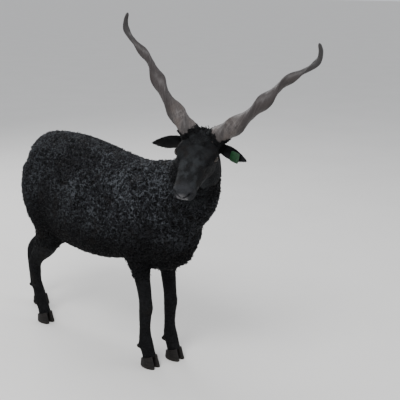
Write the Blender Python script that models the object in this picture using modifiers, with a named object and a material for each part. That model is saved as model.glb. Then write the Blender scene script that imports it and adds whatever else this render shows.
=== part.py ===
import math
import random

import bmesh
import bpy
from mathutils import Matrix, Vector
from mathutils.bvhtree import BVHTree

# Zackel sheep, shorn short, standing with its head turned to its right.
# Metres. It faces -Y, its left is +X, and the floor is z = 0.

# Driving sizes
HORN_LENGTH = 0.370
EAR_LENGTH = 0.100
GAP = 0.0003

# Shape of the fused body
VOXEL = 0.0042
SMOOTH_ROUNDS = 7
BROAD_ROUNDS = 100
BODY_TRIANGLES = 7000
HEAD_KEEP = 0.00002

# The head is placed by its poll, then turned, tipped and pitched
POLL = Vector((-0.056, -0.238, 0.843))
HEAD_TURN = math.radians(-63.5)
HEAD_TIP = math.radians(7.8)
HEAD_PITCH = math.radians(39.0)
HEAD_FRAME = (
    Matrix.Translation(POLL)
    @ Matrix.Rotation(HEAD_TURN, 4, "Z")
    @ Matrix.Rotation(HEAD_TIP, 4, "Y")
    @ Matrix.Rotation(HEAD_PITCH, 4, "X")
)


def on_head(side, along, rise):
    """A point of the head: to its left, from poll to nose, and out from the face line."""
    return HEAD_FRAME @ Vector((side, -along, rise))


def toward_head(side, along, rise):
    return (HEAD_FRAME.to_3x3() @ Vector((side, -along, rise))).normalized()


# Collections

for old in list(bpy.data.objects):
    bpy.data.objects.remove(old)
parts = bpy.data.collections.new("zackel_sheep")
cutters = bpy.data.collections.new("cutters")
for collection in (parts, cutters):
    bpy.context.scene.collection.children.link(collection)


# Tools

def add_mesh(name, bm, collection=cutters):
    mesh = bpy.data.meshes.new(name)
    bm.to_mesh(mesh)
    bm.free()
    made = bpy.data.objects.new(name, mesh)
    collection.objects.link(made)
    if collection is cutters:
        made.hide_render = True
        made.display_type = "WIRE"
    return made


def settle(made):
    """Turn an object and its modifiers into one plain mesh in world space."""
    graph = bpy.context.evaluated_depsgraph_get()
    graph.update()
    mesh = bpy.data.meshes.new_from_object(made.evaluated_get(graph))
    mesh.transform(made.matrix_world)
    made.modifiers.clear()
    made.data = mesh
    made.matrix_world = Matrix.Identity(4)
    return made


def spline(values, steps):
    """Catmull-Rom samples through rows of numbers, ends included."""
    rows = [values[0]] + list(values) + [values[-1]]
    out = []
    for i in range(1, len(rows) - 2):
        for k in range(steps):
            t = k / steps
            a, b, c, d = rows[i - 1], rows[i], rows[i + 1], rows[i + 2]
            out.append([
                0.5 * (2 * q + (r - p) * t + (2 * p - 5 * q + 4 * r - s) * t * t
                       + (3 * q - p - 3 * r + s) * t ** 3)
                for p, q, r, s in zip(a, b, c, d)
            ])
    out.append(list(values[-1]))
    return out


def loft(name, rings, collection=cutters):
    """Skin a list of point rings of equal count and close both ends."""
    bm = bmesh.new()
    rows = [[bm.verts.new(point) for point in ring] for ring in rings]
    count = len(rows[0])
    for low, high in zip(rows, rows[1:]):
        for k in range(count):
            bm.faces.new((low[k], low[(k + 1) % count], high[(k + 1) % count], high[k]))
    bm.faces.new(list(reversed(rows[0])))
    bm.faces.new(rows[-1])
    bmesh.ops.triangulate(bm, faces=bm.faces[:])
    bmesh.ops.recalc_face_normals(bm, faces=bm.faces[:])
    return add_mesh(name, bm, collection)


def super_ring(centre, across, along, half_across, half_along, sides, power=2.0):
    """A rounded section in the plane of two directions."""
    ring = []
    for k in range(sides):
        angle = 2 * math.pi * k / sides
        c, s = math.cos(angle), math.sin(angle)
        u = math.copysign(abs(c) ** (2 / power), c) * half_across
        v = math.copysign(abs(s) ** (2 / power), s) * half_along
        ring.append(centre + across * u + along * v)
    return ring


def limb(name, stations, sides=16, steps=5, power=2.1, lateral=Vector((1, 0, 0))):
    """A closed tube through rows of x, y, z, half width and half depth."""
    rows = spline(stations, steps)
    points = [Vector(row[:3]) for row in rows]
    rings = []
    for i, row in enumerate(rows):
        ahead = points[min(i + 1, len(points) - 1)] - points[max(i - 1, 0)]
        tangent = ahead.normalized()
        across = (lateral - tangent * lateral.dot(tangent)).normalized()
        depth = tangent.cross(across)
        rings.append(super_ring(points[i], across, depth, row[3], row[4], sides, power))
    return loft(name, rings)


def blob(name, centre, radii, matrix=None):
    """A round muscle or pad."""
    bm = bmesh.new()
    bmesh.ops.create_uvsphere(bm, u_segments=20, v_segments=12, radius=1.0)
    turn = matrix.to_3x3().to_4x4() if matrix else Matrix.Identity(4)
    place = Matrix.Translation(centre) @ turn @ Matrix.Diagonal((*radii, 1.0))
    bm.transform(place)
    return add_mesh(name, bm)


def fuse_mesh(name, pieces):
    """Copy several closed meshes into one mesh that still overlaps."""
    bm = bmesh.new()
    for piece in pieces:
        bm.from_mesh(piece.data)
        bpy.data.objects.remove(piece)
    return add_mesh(name, bm)


def boolean(base, pieces, operation):
    """One Boolean of a closed mesh with a collection of closed meshes."""
    group = bpy.data.collections.new("boolean")
    for piece in pieces:
        group.objects.link(piece)
    bpy.context.scene.collection.children.link(group)
    cut = base.modifiers.new("cut", "BOOLEAN")
    cut.operation = operation
    cut.solver = "EXACT"
    cut.operand_type = "COLLECTION"
    cut.collection = group
    settle(base)
    bpy.context.scene.collection.children.unlink(group)
    for piece in list(group.objects):
        bpy.data.objects.remove(piece)
    bpy.data.collections.remove(group)
    return base


def islands(bm):
    """Groups of vertices that hang together."""
    left = set(bm.verts)
    groups = []
    while left:
        seed = left.pop()
        group = {seed}
        stack = [seed]
        while stack:
            for edge in stack.pop().link_edges:
                for vert in edge.verts:
                    if vert not in group:
                        group.add(vert)
                        stack.append(vert)
        left -= group
        groups.append(group)
    return groups


def surface_size(group):
    faces = {face for vert in group for face in vert.link_faces}
    return sum(face.calc_area() for face in faces)


def keep_largest(made):
    bm = bmesh.new()
    bm.from_mesh(made.data)
    groups = sorted(islands(bm), key=surface_size)
    for group in groups[:-1]:
        bmesh.ops.delete(bm, geom=list(group), context="VERTS")
    bm.to_mesh(made.data)
    bm.free()
    return made


def take_piece(source, name, near, tag_collection=parts):
    """Copy the loose body of a parted mesh whose surface comes closest to a point."""
    bm = bmesh.new()
    bm.from_mesh(source.data)
    groups = islands(bm)

    def reach(group):
        return min((vert.co - near).length for vert in group)

    wanted = min(groups, key=reach)
    spare = [vert for group in groups if group is not wanted for vert in group]
    bmesh.ops.delete(bm, geom=spare, context="VERTS")
    bmesh.ops.triangulate(bm, faces=bm.faces[:])
    return add_mesh(name, bm, tag_collection)


def slab(centre, normal, across, half_size):
    """A thin plate that parts two nodes."""
    across = (across - normal * across.dot(normal)).normalized()
    turn = Matrix((across, normal.cross(across), normal)).transposed().to_4x4()
    bm = bmesh.new()
    bmesh.ops.create_cube(bm, size=1.0)
    shape = Matrix.Diagonal((half_size[0] * 2, half_size[1] * 2, GAP, 1.0))
    bm.transform(Matrix.Translation(centre) @ turn @ shape)
    return add_mesh("slab", bm)


# Trunk: rows of place along the body, top, bottom, half width, height of the widest part

TRUNK = [
    # forward, top, bottom, half width, widest as a share of the height
    (-0.610, 0.662, 0.520, 0.050, 0.50),
    (-0.588, 0.710, 0.450, 0.088, 0.48),
    (-0.530, 0.735, 0.377, 0.116, 0.50),
    (-0.450, 0.740, 0.343, 0.132, 0.50),
    (-0.370, 0.737, 0.334, 0.146, 0.47),
    (-0.280, 0.722, 0.334, 0.157, 0.44),
    (-0.190, 0.704, 0.340, 0.158, 0.44),
    (-0.100, 0.694, 0.356, 0.146, 0.45),
    (-0.020, 0.696, 0.362, 0.129, 0.46),
    (0.055, 0.700, 0.372, 0.110, 0.46),
    (0.110, 0.668, 0.395, 0.084, 0.46),
    (0.142, 0.600, 0.440, 0.052, 0.50),
]


def trunk():
    rings = []
    sides = 28
    for forward, top, bottom, half, share in spline(TRUNK, 4):
        widest = bottom + (top - bottom) * share
        ring = []
        for k in range(sides):
            angle = 2 * math.pi * k / sides
            c, s = math.cos(angle), math.sin(angle)
            reach = top - widest if s > 0 else widest - bottom
            power = 2.15 if s > 0 else 2.5
            x = math.copysign(abs(c) ** (2 / power), c) * half
            z = widest + math.copysign(abs(s) ** (2 / 2.15), s) * reach
            ring.append(Vector((x, -forward, z)))
        rings.append(ring)
    return loft("trunk", rings)


# Neck: x, y, z of its middle line, half width, half depth

NECK = [
    (0.000, 0.060, 0.560, 0.095, 0.130),
    (0.000, -0.050, 0.585, 0.097, 0.130),
    (-0.001, -0.118, 0.622, 0.087, 0.117),
    (-0.013, -0.166, 0.675, 0.066, 0.097),
    (-0.035, -0.201, 0.730, 0.053, 0.076),
    (-0.054, -0.219, 0.772, 0.047, 0.062),
    (-0.064, -0.228, 0.800, 0.040, 0.046),
]


def neck():
    return limb("neck", NECK, sides=24, steps=4)


# Head: rows of distance from the poll, top, bottom, half width

SKULL = [
    (-0.022, -0.022, -0.060, 0.024),
    (-0.004, -0.004, -0.078, 0.044),
    (0.030, 0.006, -0.088, 0.053),
    (0.068, 0.012, -0.088, 0.055),
    (0.104, 0.011, -0.084, 0.049),
    (0.140, 0.007, -0.072, 0.040),
    (0.176, 0.004, -0.062, 0.0345),
    (0.206, -0.001, -0.056, 0.0320),
    (0.224, -0.008, -0.050, 0.0270),
    (0.232, -0.018, -0.040, 0.0150),
]
JAW = [
    (0.010, -0.058, -0.098, 0.032),
    (0.032, -0.055, -0.118, 0.042),
    (0.062, -0.052, -0.122, 0.045),
    (0.100, -0.050, -0.108, 0.039),
    (0.142, -0.042, -0.090, 0.031),
    (0.178, -0.038, -0.077, 0.0265),
    (0.204, -0.036, -0.070, 0.0235),
    (0.219, -0.042, -0.062, 0.0140),
]
EYE = (0.0525, 0.086, -0.019)
EYE_RADIUS = 0.0125
LID = 0.0019
HORN_SEAT = (0.0490, 0.0095, -0.003)
EAR_SEAT = (0.0480, 0.032, -0.036)


def head_tube(name, rows, power):
    rings = []
    for along, top, bottom, half in spline(rows, 4):
        rings.append(super_ring(
            on_head(0, along, (top + bottom) / 2),
            toward_head(1, 0, 0), toward_head(0, 0, 1),
            half, (top - bottom) / 2, 24, power,
        ))
    return loft(name, rings)


# Round forms of one side of the head: centre, then radii across, along and out

HEAD_FORMS = [
    ((0.0400, 0.081, -0.015), (0.0218, 0.041, 0.0225)),
    ((0.0300, 0.070, -0.068), (0.0210, 0.044, 0.0400)),
    ((0.0150, 0.206, -0.038), (0.0185, 0.023, 0.0185)),
    ((0.0165, 0.213, -0.019), (0.0145, 0.016, 0.0145)),
    ((0.0430, 0.010, -0.018), (0.0280, 0.030, 0.0230)),
    ((0.0420, 0.030, -0.036), (0.0180, 0.020, 0.0200)),
]


def head_forms():
    forms = [head_tube("skull", SKULL, 2.35), head_tube("jaw", JAW, 2.2)]
    for side in (-1, 1):
        for centre, radii in HEAD_FORMS:
            place = on_head(side * centre[0], centre[1], centre[2])
            forms.append(blob("head_form", place, radii, HEAD_FRAME))
    return forms


# Legs: rows of offset outward and back, height, half width, half depth, and how far the row
# follows the foot instead of the hip or shoulder

FORE_FEET = {"left": (0.047, -0.001), "right": (-0.050, 0.021)}
FORE_TOPS = {"left": (0.050, 0.010), "right": (-0.050, 0.012)}
HIND_FEET = {"left": (0.040, 0.728), "right": (-0.056, 0.575)}
HIND_TOPS = {"left": (0.058, 0.560), "right": (-0.056, 0.560)}

FORE_LEG = [
    (0.028, 0.010, 0.600, 0.030, 0.062, 0.0),
    (0.038, 0.020, 0.520, 0.040, 0.074, 0.0),
    (0.030, 0.036, 0.430, 0.038, 0.062, 0.1),
    (0.012, 0.026, 0.360, 0.030, 0.040, 0.3),
    (0.004, 0.013, 0.290, 0.0235, 0.0290, 0.6),
    (0.001, 0.006, 0.235, 0.0215, 0.0250, 0.8),
    (0.000, 0.004, 0.208, 0.0230, 0.0265, 0.9),
    (0.000, 0.008, 0.175, 0.0208, 0.0232, 1.0),
    (0.000, 0.010, 0.130, 0.0188, 0.0212, 1.0),
    (0.000, 0.009, 0.097, 0.0218, 0.0244, 1.0),
    (0.000, 0.006, 0.080, 0.0244, 0.0256, 1.0),
    (0.000, -0.001, 0.058, 0.0242, 0.0234, 1.0),
    (0.000, -0.008, 0.034, 0.0240, 0.0240, 1.0),
    (0.000, -0.010, 0.012, 0.0230, 0.0240, 1.0),
]
HIND_LEG = [
    (0.010, -0.030, 0.630, 0.050, 0.080, 0.0),
    (0.020, -0.046, 0.540, 0.058, 0.102, 0.0),
    (0.020, -0.060, 0.455, 0.052, 0.096, 0.1),
    (0.012, -0.064, 0.385, 0.042, 0.075, 0.25),
    (0.005, -0.034, 0.318, 0.030, 0.051, 0.5),
    (0.002, 0.012, 0.265, 0.0225, 0.0335, 0.8),
    (0.000, 0.036, 0.230, 0.0215, 0.0290, 0.9),
    (0.000, 0.038, 0.198, 0.0205, 0.0255, 0.95),
    (0.000, 0.031, 0.148, 0.0182, 0.0206, 1.0),
    (0.000, 0.022, 0.108, 0.0206, 0.0230, 1.0),
    (0.000, 0.016, 0.087, 0.0232, 0.0240, 1.0),
    (0.000, 0.003, 0.060, 0.0230, 0.0222, 1.0),
    (0.000, -0.007, 0.034, 0.0235, 0.0235, 1.0),
    (0.000, -0.009, 0.012, 0.0225, 0.0235, 1.0),
]


def leg(name, rows, side, top, foot):
    placed = []
    for out, back, height, half_width, half_depth, share in rows:
        x = top[0] + (foot[0] - top[0]) * share + side * out
        y = top[1] + (foot[1] - top[1]) * share + back
        placed.append((x, y, height, half_width, half_depth))
    return limb(name, placed, sides=16, steps=4)


def dewclaws(foot, back, height):
    forms = []
    for turn in (-1, 1):
        centre = Vector((foot[0] + turn * 0.0120, foot[1] + back, height))
        forms.append(blob("dewclaw", centre, (0.0068, 0.0088, 0.0105)))
    return forms


# Tail

TAIL = [
    (0.000, 0.545, 0.672, 0.024, 0.022),
    (0.000, 0.592, 0.672, 0.023, 0.020),
    (0.000, 0.628, 0.645, 0.0190, 0.0170),
    (0.000, 0.646, 0.588, 0.0160, 0.0145),
    (0.001, 0.648, 0.516, 0.0140, 0.0125),
    (0.003, 0.644, 0.444, 0.0115, 0.0105),
    (0.005, 0.640, 0.396, 0.0075, 0.0070),
]


# Muscles and pads of one side of the body: centre, then radii

BODY_FORMS = [
    ((0.086, 0.004, 0.545), (0.044, 0.078, 0.125)),
    ((0.074, 0.052, 0.425), (0.028, 0.042, 0.040)),
    ((0.076, 0.500, 0.610), (0.050, 0.080, 0.090)),
    ((0.052, -0.052, 0.480), (0.050, 0.062, 0.085)),
]
MIDDLE_FORMS = [
    ((0.0, -0.082, 0.450), (0.056, 0.060, 0.085)),
    ((0.0, -0.010, 0.375), (0.058, 0.080, 0.034)),
    ((0.0, 0.300, 0.345), (0.024, 0.070, 0.016)),
]


def face_share(point):
    """1 on the head, 0 on the neck and body, with a soft step behind the jaw."""
    local = HEAD_FRAME.inverted() @ point
    behind = min(max((0.035 - local.y) / 0.03, 0.0), 1.0)
    below = min(max((local.z + 0.150) / 0.03, 0.0), 1.0)
    aside = min(max((0.105 - abs(local.x)) / 0.02, 0.0), 1.0)
    return behind * below * aside


def whole_body():
    forms = [trunk(), neck()] + head_forms()
    forms.append(limb("tail", TAIL, sides=14, steps=4))
    for side, hand in ((1, "left"), (-1, "right")):
        fore, hind = FORE_FEET[hand], HIND_FEET[hand]
        forms.append(leg("fore_leg", FORE_LEG, side, FORE_TOPS[hand], fore))
        forms.append(leg("hind_leg", HIND_LEG, side, HIND_TOPS[hand], hind))
        forms += dewclaws(fore, 0.0275, 0.070)
        forms += dewclaws(hind, 0.0330, 0.076)
        for centre, radii in BODY_FORMS:
            forms.append(blob("muscle", (side * centre[0], centre[1], centre[2]), radii))
    for centre, radii in MIDDLE_FORMS:
        forms.append(blob("muscle", centre, radii))
    body = fuse_mesh("body", forms)
    skin = body.modifiers.new("skin", "REMESH")
    skin.mode = "VOXEL"
    skin.voxel_size = VOXEL
    relax = body.modifiers.new("relax", "SMOOTH")
    relax.factor = 0.5
    relax.iterations = SMOOTH_ROUNDS
    settle(body)
    keep_largest(body)
    thin_out = body.vertex_groups.new(name="thin_out")
    broad = body.vertex_groups.new(name="broad")
    for vert in body.data.vertices:
        face = face_share(vert.co)
        thin_out.add([vert.index], 1.0 - 0.5 * face, "REPLACE")
        above_legs = min(max((vert.co.z - 0.30) / 0.10, 0.0), 1.0)
        off_tail = min(max((0.615 - vert.co.y) / 0.03, 0.0), 1.0)
        broad.add([vert.index], above_legs * off_tail * (1.0 - face), "REPLACE")
    even = body.modifiers.new("even", "SMOOTH")
    even.factor = 0.5
    even.iterations = BROAD_ROUNDS
    even.vertex_group = "broad"
    faces = sum(len(face.vertices) - 2 for face in body.data.polygons)
    thin = body.modifiers.new("thin", "DECIMATE")
    thin.ratio = BODY_TRIANGLES / faces
    thin.vertex_group = "thin_out"
    thin.vertex_group_factor = HEAD_KEEP
    thin.use_collapse_triangulate = True
    settle(body)
    return body


# Horns: rows of share of the length, swing outward and forward, half width, half thickness

HORN_SPLAY = math.radians(42.6)
HORN_LEAN = math.radians(51.8)
HORN_ROWS = [
    (-0.080, 0.000, 0.000, 0.0320, 0.0275),
    (0.000, 0.000, 0.000, 0.0325, 0.0270),
    (0.080, 0.004, -0.005, 0.0302, 0.0232),
    (0.157, 0.006, -0.008, 0.0268, 0.0192),
    (0.300, 0.006, 0.002, 0.0232, 0.0152),
    (0.449, 0.001, 0.000, 0.0218, 0.0130),
    (0.613, -0.006, -0.001, 0.0170, 0.0098),
    (0.744, -0.001, 0.002, 0.0125, 0.0076),
    (0.856, 0.006, -0.001, 0.0104, 0.0076),
    (0.930, 0.003, 0.004, 0.0094, 0.0076),
    (0.974, -0.010, 0.014, 0.0080, 0.0068),
    (0.995, -0.024, 0.025, 0.0056, 0.0050),
    (1.000, -0.029, 0.030, 0.0022, 0.0020),
]
HORN_STEPS = 4
HORN_SIDES = 12
# half turns of the twist: at the seat, over the whole length, and the tightening at the tip
TWIST = (-0.52, 3.50, 0.55)


def horn_turns(share):
    """Half turns of the twist, which tightens toward the tip."""
    seat, whole, tighten = TWIST
    return seat + whole * share + tighten * share ** 6


def horn_axes(side):
    lean = toward_head(0, -math.sin(HORN_LEAN), math.cos(HORN_LEAN))
    out = toward_head(side, 0, 0)
    axis = (out * math.sin(HORN_SPLAY) + lean * math.cos(HORN_SPLAY)).normalized()
    across = (out * math.cos(HORN_SPLAY) - lean * math.sin(HORN_SPLAY)).normalized()
    return axis, across, axis.cross(across) * -side


def horn(hand, side):
    seat = on_head(side * HORN_SEAT[0], HORN_SEAT[1], HORN_SEAT[2])
    axis, across, over = horn_axes(side)
    rows = spline(HORN_ROWS, HORN_STEPS)
    points = [
        seat + axis * (row[0] * HORN_LENGTH) + across * row[1] + over * row[2] for row in rows
    ]
    rings = []
    for i, (share, _, _, wide, thick) in enumerate(rows):
        ahead = (points[min(i + 1, len(points) - 1)] - points[max(i - 1, 0)]).normalized()
        turn = math.pi * horn_turns(share)
        flat = across * math.cos(turn) + over * math.sin(turn)
        flat = (flat - ahead * flat.dot(ahead)).normalized()
        rings.append(super_ring(points[i], flat, ahead.cross(flat), wide, thick, HORN_SIDES, 1.8))
    return loft("horn_" + hand, rings, parts), axis


# Ears: a leaf bent into a cup, with a wall of even thickness

EAR_SWEEP = math.radians(20)
EAR_DROOP = math.radians(9)
EAR_TILT = math.radians(8)
EAR_WALL = 0.0030
EAR_ROWS = [
    # share of the length, half width, depth of the cup
    (-0.12, 0.0120, 0.0118),
    (0.06, 0.0142, 0.0122),
    (0.22, 0.0188, 0.0110),
    (0.42, 0.0210, 0.0090),
    (0.62, 0.0184, 0.0066),
    (0.82, 0.0116, 0.0040),
    (0.94, 0.0060, 0.0021),
    (1.00, 0.0018, 0.0006),
]
EAR_COLUMNS = 6


def ear_axes(side):
    """Directions from root to tip, up the leaf, and out of its open side."""
    forward = Vector((0, math.cos(HEAD_PITCH), math.sin(HEAD_PITCH)))
    upward = Vector((0, -math.sin(HEAD_PITCH), math.cos(HEAD_PITCH)))
    out = Vector((side, 0, 0))
    tip = (out * math.cos(EAR_SWEEP) + forward * math.sin(EAR_SWEEP)) * math.cos(EAR_DROOP)
    tip -= upward * math.sin(EAR_DROOP)
    opening = forward * math.cos(EAR_TILT) - upward * math.sin(EAR_TILT)
    opening = (opening - tip * opening.dot(tip)).normalized()
    up = opening.cross(tip) * side
    return toward_head(*tip), toward_head(*up), toward_head(*opening)


def ear_point(side, share, across, half, depth):
    tip, up, opening = ear_axes(side)
    root = on_head(side * EAR_SEAT[0], EAR_SEAT[1], EAR_SEAT[2])
    bow = depth * (1 - across * across)
    return root + tip * (EAR_LENGTH * share) + up * (half * across) - opening * bow


def ear(name, side):
    bm = bmesh.new()
    rows = []
    for share, half, depth in spline(EAR_ROWS, 2):
        row = []
        for k in range(EAR_COLUMNS + 1):
            across = -1 + 2 * k / EAR_COLUMNS
            row.append(bm.verts.new(ear_point(side, share, across, half, depth)))
        rows.append(row)
    for low, high in zip(rows, rows[1:]):
        for k in range(EAR_COLUMNS):
            bm.faces.new((low[k], low[k + 1], high[k + 1], high[k]))
    bmesh.ops.recalc_face_normals(bm, faces=bm.faces[:])
    made = add_mesh(name, bm, parts)
    wall = made.modifiers.new("wall", "SOLIDIFY")
    wall.thickness = EAR_WALL
    wall.offset = 0.0
    settle(made)
    bm = bmesh.new()
    bm.from_mesh(made.data)
    bmesh.ops.triangulate(bm, faces=bm.faces[:])
    bmesh.ops.recalc_face_normals(bm, faces=bm.faces[:])
    bm.to_mesh(made.data)
    bm.free()
    return made


# Fine forms of the head, set on the skin

NOSTRIL = [(0.0034, 0.238, -0.0295), (0.0080, 0.237, -0.0262), (0.0150, 0.231, -0.0205), (0.0205, 0.222, -0.0160)]
NOSTRIL_RADIUS = 0.0037
MOUTH = [
    (0.0000, 0.236, -0.049),
    (0.0130, 0.229, -0.051),
    (0.0240, 0.212, -0.053),
    (0.0320, 0.188, -0.054),
]
MOUTH_RADIUS = 0.0017
PHILTRUM = [(0.0, 0.241, -0.030), (0.0, 0.239, -0.040), (0.0, 0.235, -0.049)]
PHILTRUM_RADIUS = 0.0011
EYE_OPENING = (0.0118, 0.0080)

# Wool between the horns: rows of distance from the poll and the clumps' places across it
WOOL_ROWS = [
    (-0.020, (-0.011, 0.011)),
    (-0.008, (-0.004, 0.008)),
    (0.005, (-0.006, 0.007)),
    (0.018, (-0.009, 0.005)),
    (0.030, (-0.019, -0.004, 0.012)),
    (0.042, (-0.030, -0.014, 0.003, 0.020, 0.034)),
    (0.054, (-0.022, -0.006, 0.011, 0.026)),
    (0.065, (-0.012, 0.004, 0.019)),
]
WOOL_SIZE = (0.0085, 0.0110)
WOOL_SINK = 0.0025


def skin_of(made):
    mesh = made.data
    return BVHTree.FromPolygons(
        [vert.co for vert in mesh.vertices], [list(face.vertices) for face in mesh.polygons]
    )


def set_on(skin, place, sink=0.0):
    found, normal, _, _ = skin.find_nearest(place)
    return found - normal * sink


def groove(name, skin, rows, side, radius, sink=0.0):
    """A thin tube that follows the skin through rough places, for cutting."""
    path = [set_on(skin, on_head(side * a, b, c), sink) for a, b, c in spline(rows, 3)]
    stations = [(point.x, point.y, point.z, radius, radius) for point in path]
    return limb(name, stations, sides=8, steps=1, lateral=toward_head(0.2, 0.3, 1.0))


def eye_axes(side):
    gaze = Vector((side * 0.80, 0.50, 0.30)).normalized()
    slit = Vector((side * 0.12, 1.0, -0.16))
    slit = (slit - gaze * slit.dot(gaze)).normalized()
    upper = gaze.cross(slit) * side
    return toward_head(*gaze), toward_head(*slit), toward_head(*upper)


def eye_ball(name, side, radius, collection=cutters):
    bm = bmesh.new()
    bmesh.ops.create_uvsphere(bm, u_segments=18, v_segments=10, radius=radius)
    gaze, _, _ = eye_axes(side)
    turn = Vector((0, 0, 1)).rotation_difference(gaze).to_matrix().to_4x4()
    bm.transform(Matrix.Translation(on_head(side * EYE[0], EYE[1], EYE[2])) @ turn)
    bmesh.ops.triangulate(bm, faces=bm.faces[:])
    return add_mesh(name, bm, collection)


def eye_slit(side):
    gaze, slit, upper = eye_axes(side)
    centre = on_head(side * EYE[0], EYE[1], EYE[2])
    rings = [
        super_ring(centre + gaze * reach, slit, upper, *EYE_OPENING, 16, 1.5)
        for reach in (0.004, 0.032)
    ]
    return loft("slit", rings)


def wool(skin):
    """Rounded clumps set close between the horns and over the forehead."""
    draw = random.Random(4)
    clumps = []
    for along, places in WOOL_ROWS:
        for across in places:
            size = draw.uniform(*WOOL_SIZE)
            place = on_head(
                across + draw.uniform(-0.0015, 0.0015), along + draw.uniform(-0.002, 0.002), 0.02
            )
            bm = bmesh.new()
            bmesh.ops.create_icosphere(bm, subdivisions=2, radius=1.0)
            turn = Matrix.Rotation(draw.uniform(0, 3), 4, Vector((draw.random(), 1, draw.random())))
            stretch = Matrix.Diagonal((size, size * draw.uniform(1.0, 1.3), size * 0.85, 1.0))
            seat = set_on(skin, place, WOOL_SINK)
            bm.transform(Matrix.Translation(seat) @ HEAD_FRAME.to_3x3().to_4x4() @ turn @ stretch)
            clumps.append(add_mesh("clump", bm))
    return clumps


def finish_head(body):
    skin = skin_of(body)
    for side in (-1, 1):
        boolean(body, [eye_ball("lid", side, EYE_RADIUS + GAP + LID)], "UNION")
    boolean(body, wool(skin), "UNION")
    cuts = [groove("philtrum", skin, PHILTRUM, 1, PHILTRUM_RADIUS)]
    for side in (-1, 1):
        cuts.append(groove("nostril", skin, NOSTRIL, side, NOSTRIL_RADIUS, 0.0008))
        cuts.append(groove("mouth", skin, MOUTH, side, MOUTH_RADIUS))
        cuts.append(eye_ball("socket", side, EYE_RADIUS + GAP))
        cuts.append(eye_slit(side))
    for cut in cuts:
        boolean(body, [cut], "DIFFERENCE")
    keep_largest(body)


# Cuts between the nodes

CORONET_TILT = 0.30
CORONET_HEIGHT = 0.036
LEG_TOP = 0.335


def coronet(foot):
    return Vector((foot[0], foot[1] - 0.008, CORONET_HEIGHT)), Vector((0, CORONET_TILT, 1)).normalized()


def part_cuts():
    up = Vector((0, 0, 1))
    across = Vector((1, 0, 0))
    cuts = [
        slab(on_head(-0.015, 0.035, -0.125), toward_head(0, 0.42, 0.90), toward_head(1, 0, 0), (0.115, 0.115)),
        slab(Vector((0, -0.095, 0.605)), Vector((0, -0.878, 0.478)), across, (0.140, 0.150)),
        slab(Vector((0, 0.639, 0.613)), Vector((0, -0.30, 0.954)), across, (0.023, 0.0210)),
    ]
    for side, hand in ((1, "left"), (-1, "right")):
        cuts.append(slab(Vector((side * 0.060, 0.032, LEG_TOP)), up, across, (0.038, 0.055)))
        back = 0.525 + 0.37 * (HIND_FEET[hand][1] - HIND_TOPS[hand][1])
        cuts.append(slab(Vector((side * 0.060, back, LEG_TOP)), up, across, (0.056, 0.105)))
        for foot in (FORE_FEET[hand], HIND_FEET[hand]):
            centre, normal = coronet(foot)
            cuts.append(slab(centre, normal, across, (0.036, 0.045)))
    return cuts


# Claws: rows of height, toe and heel place, width of one claw

CLAW_ROWS = [
    (0.0000, -0.0425, 0.0175, 0.0235),
    (0.0040, -0.0430, 0.0185, 0.0250),
    (None, -0.0310, 0.0155, 0.0235),
]
CLAW_SIDES = 14
CLAW_SPLIT = 0.0014


def claw(name, foot, turn):
    rings = []
    centre, normal = coronet(foot)
    for height, toe, heel, width in CLAW_ROWS:
        ring = []
        for k in range(CLAW_SIDES):
            angle = 2 * math.pi * k / CLAW_SIDES
            c, s = math.cos(angle), math.sin(angle)
            power = 2.3 if c > 0 else 5.0
            slim = 1.0 - 0.32 * max(-s, 0.0) ** 2
            x = math.copysign(abs(c) ** (2 / power), c) * width / 2 * slim
            y = (toe + heel) / 2 + s * (heel - toe) / 2
            point = Vector((foot[0] + turn * (CLAW_SPLIT + width / 2 + x), foot[1] + y, height or 0.0))
            if height is None:
                plane = centre - normal * (GAP * 1.5)
                point.z = plane.z - (point.y - plane.y) * normal.y / normal.z
            ring.append(point)
        rings.append(ring)
    return loft(name, rings, parts)


# Nodes

NODE_SEEDS = {
    "head": on_head(0, 0.232, -0.03),
    "neck": Vector((-0.012, -0.190, 0.620)),
    "torso": Vector((0, 0.25, 0.72)),
    "tail": Vector((0.003, 0.638, 0.444)),
    "fore_leg_left": Vector((FORE_FEET["left"][0], FORE_FEET["left"][1], 0.18)),
    "fore_leg_right": Vector((FORE_FEET["right"][0], FORE_FEET["right"][1], 0.18)),
    "hind_leg_left": Vector((HIND_FEET["left"][0], HIND_FEET["left"][1] + 0.03, 0.14)),
    "hind_leg_right": Vector((HIND_FEET["right"][0], HIND_FEET["right"][1] + 0.03, 0.14)),
}


def clip_by(made, body, shift):
    """Cut a piece back to the surface it grows from, draw it off by the gap and clear overhangs."""
    copy = bpy.data.objects.new("clip", body.data.copy())
    boolean(made, [copy], "DIFFERENCE")
    keep_largest(made)
    made.data.transform(Matrix.Translation(shift))
    under = bpy.data.objects.new("clip", body.data.copy())
    under.data.transform(Matrix.Translation(-shift))
    boolean(made, [under], "DIFFERENCE")
    keep_largest(made)


# Ear tag: a plate in front of the left ear, a button behind it and a pin through a hole

TAG_PLATE = (0.030, 0.032, 0.0014)
TAG_PLACE = (0.62, -0.12)
TAG_STAND = (0.0096, 0.0046)
TAG_PIN = 0.0018
TAG_HOLE = 0.0022
TAG_BUTTON = 0.0075


def rod(name, start, end, radius, sides=12):
    ahead = (end - start).normalized()
    across = ahead.orthogonal().normalized()
    up = ahead.cross(across)
    rings = [super_ring(point, across, up, radius, radius, sides) for point in (start, end)]
    return loft(name, rings)


def tag_frame():
    share, across = TAG_PLACE
    tip, _, opening = ear_axes(1)
    return ear_point(1, share, across, 0.0184, 0.0066), opening, tip


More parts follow.
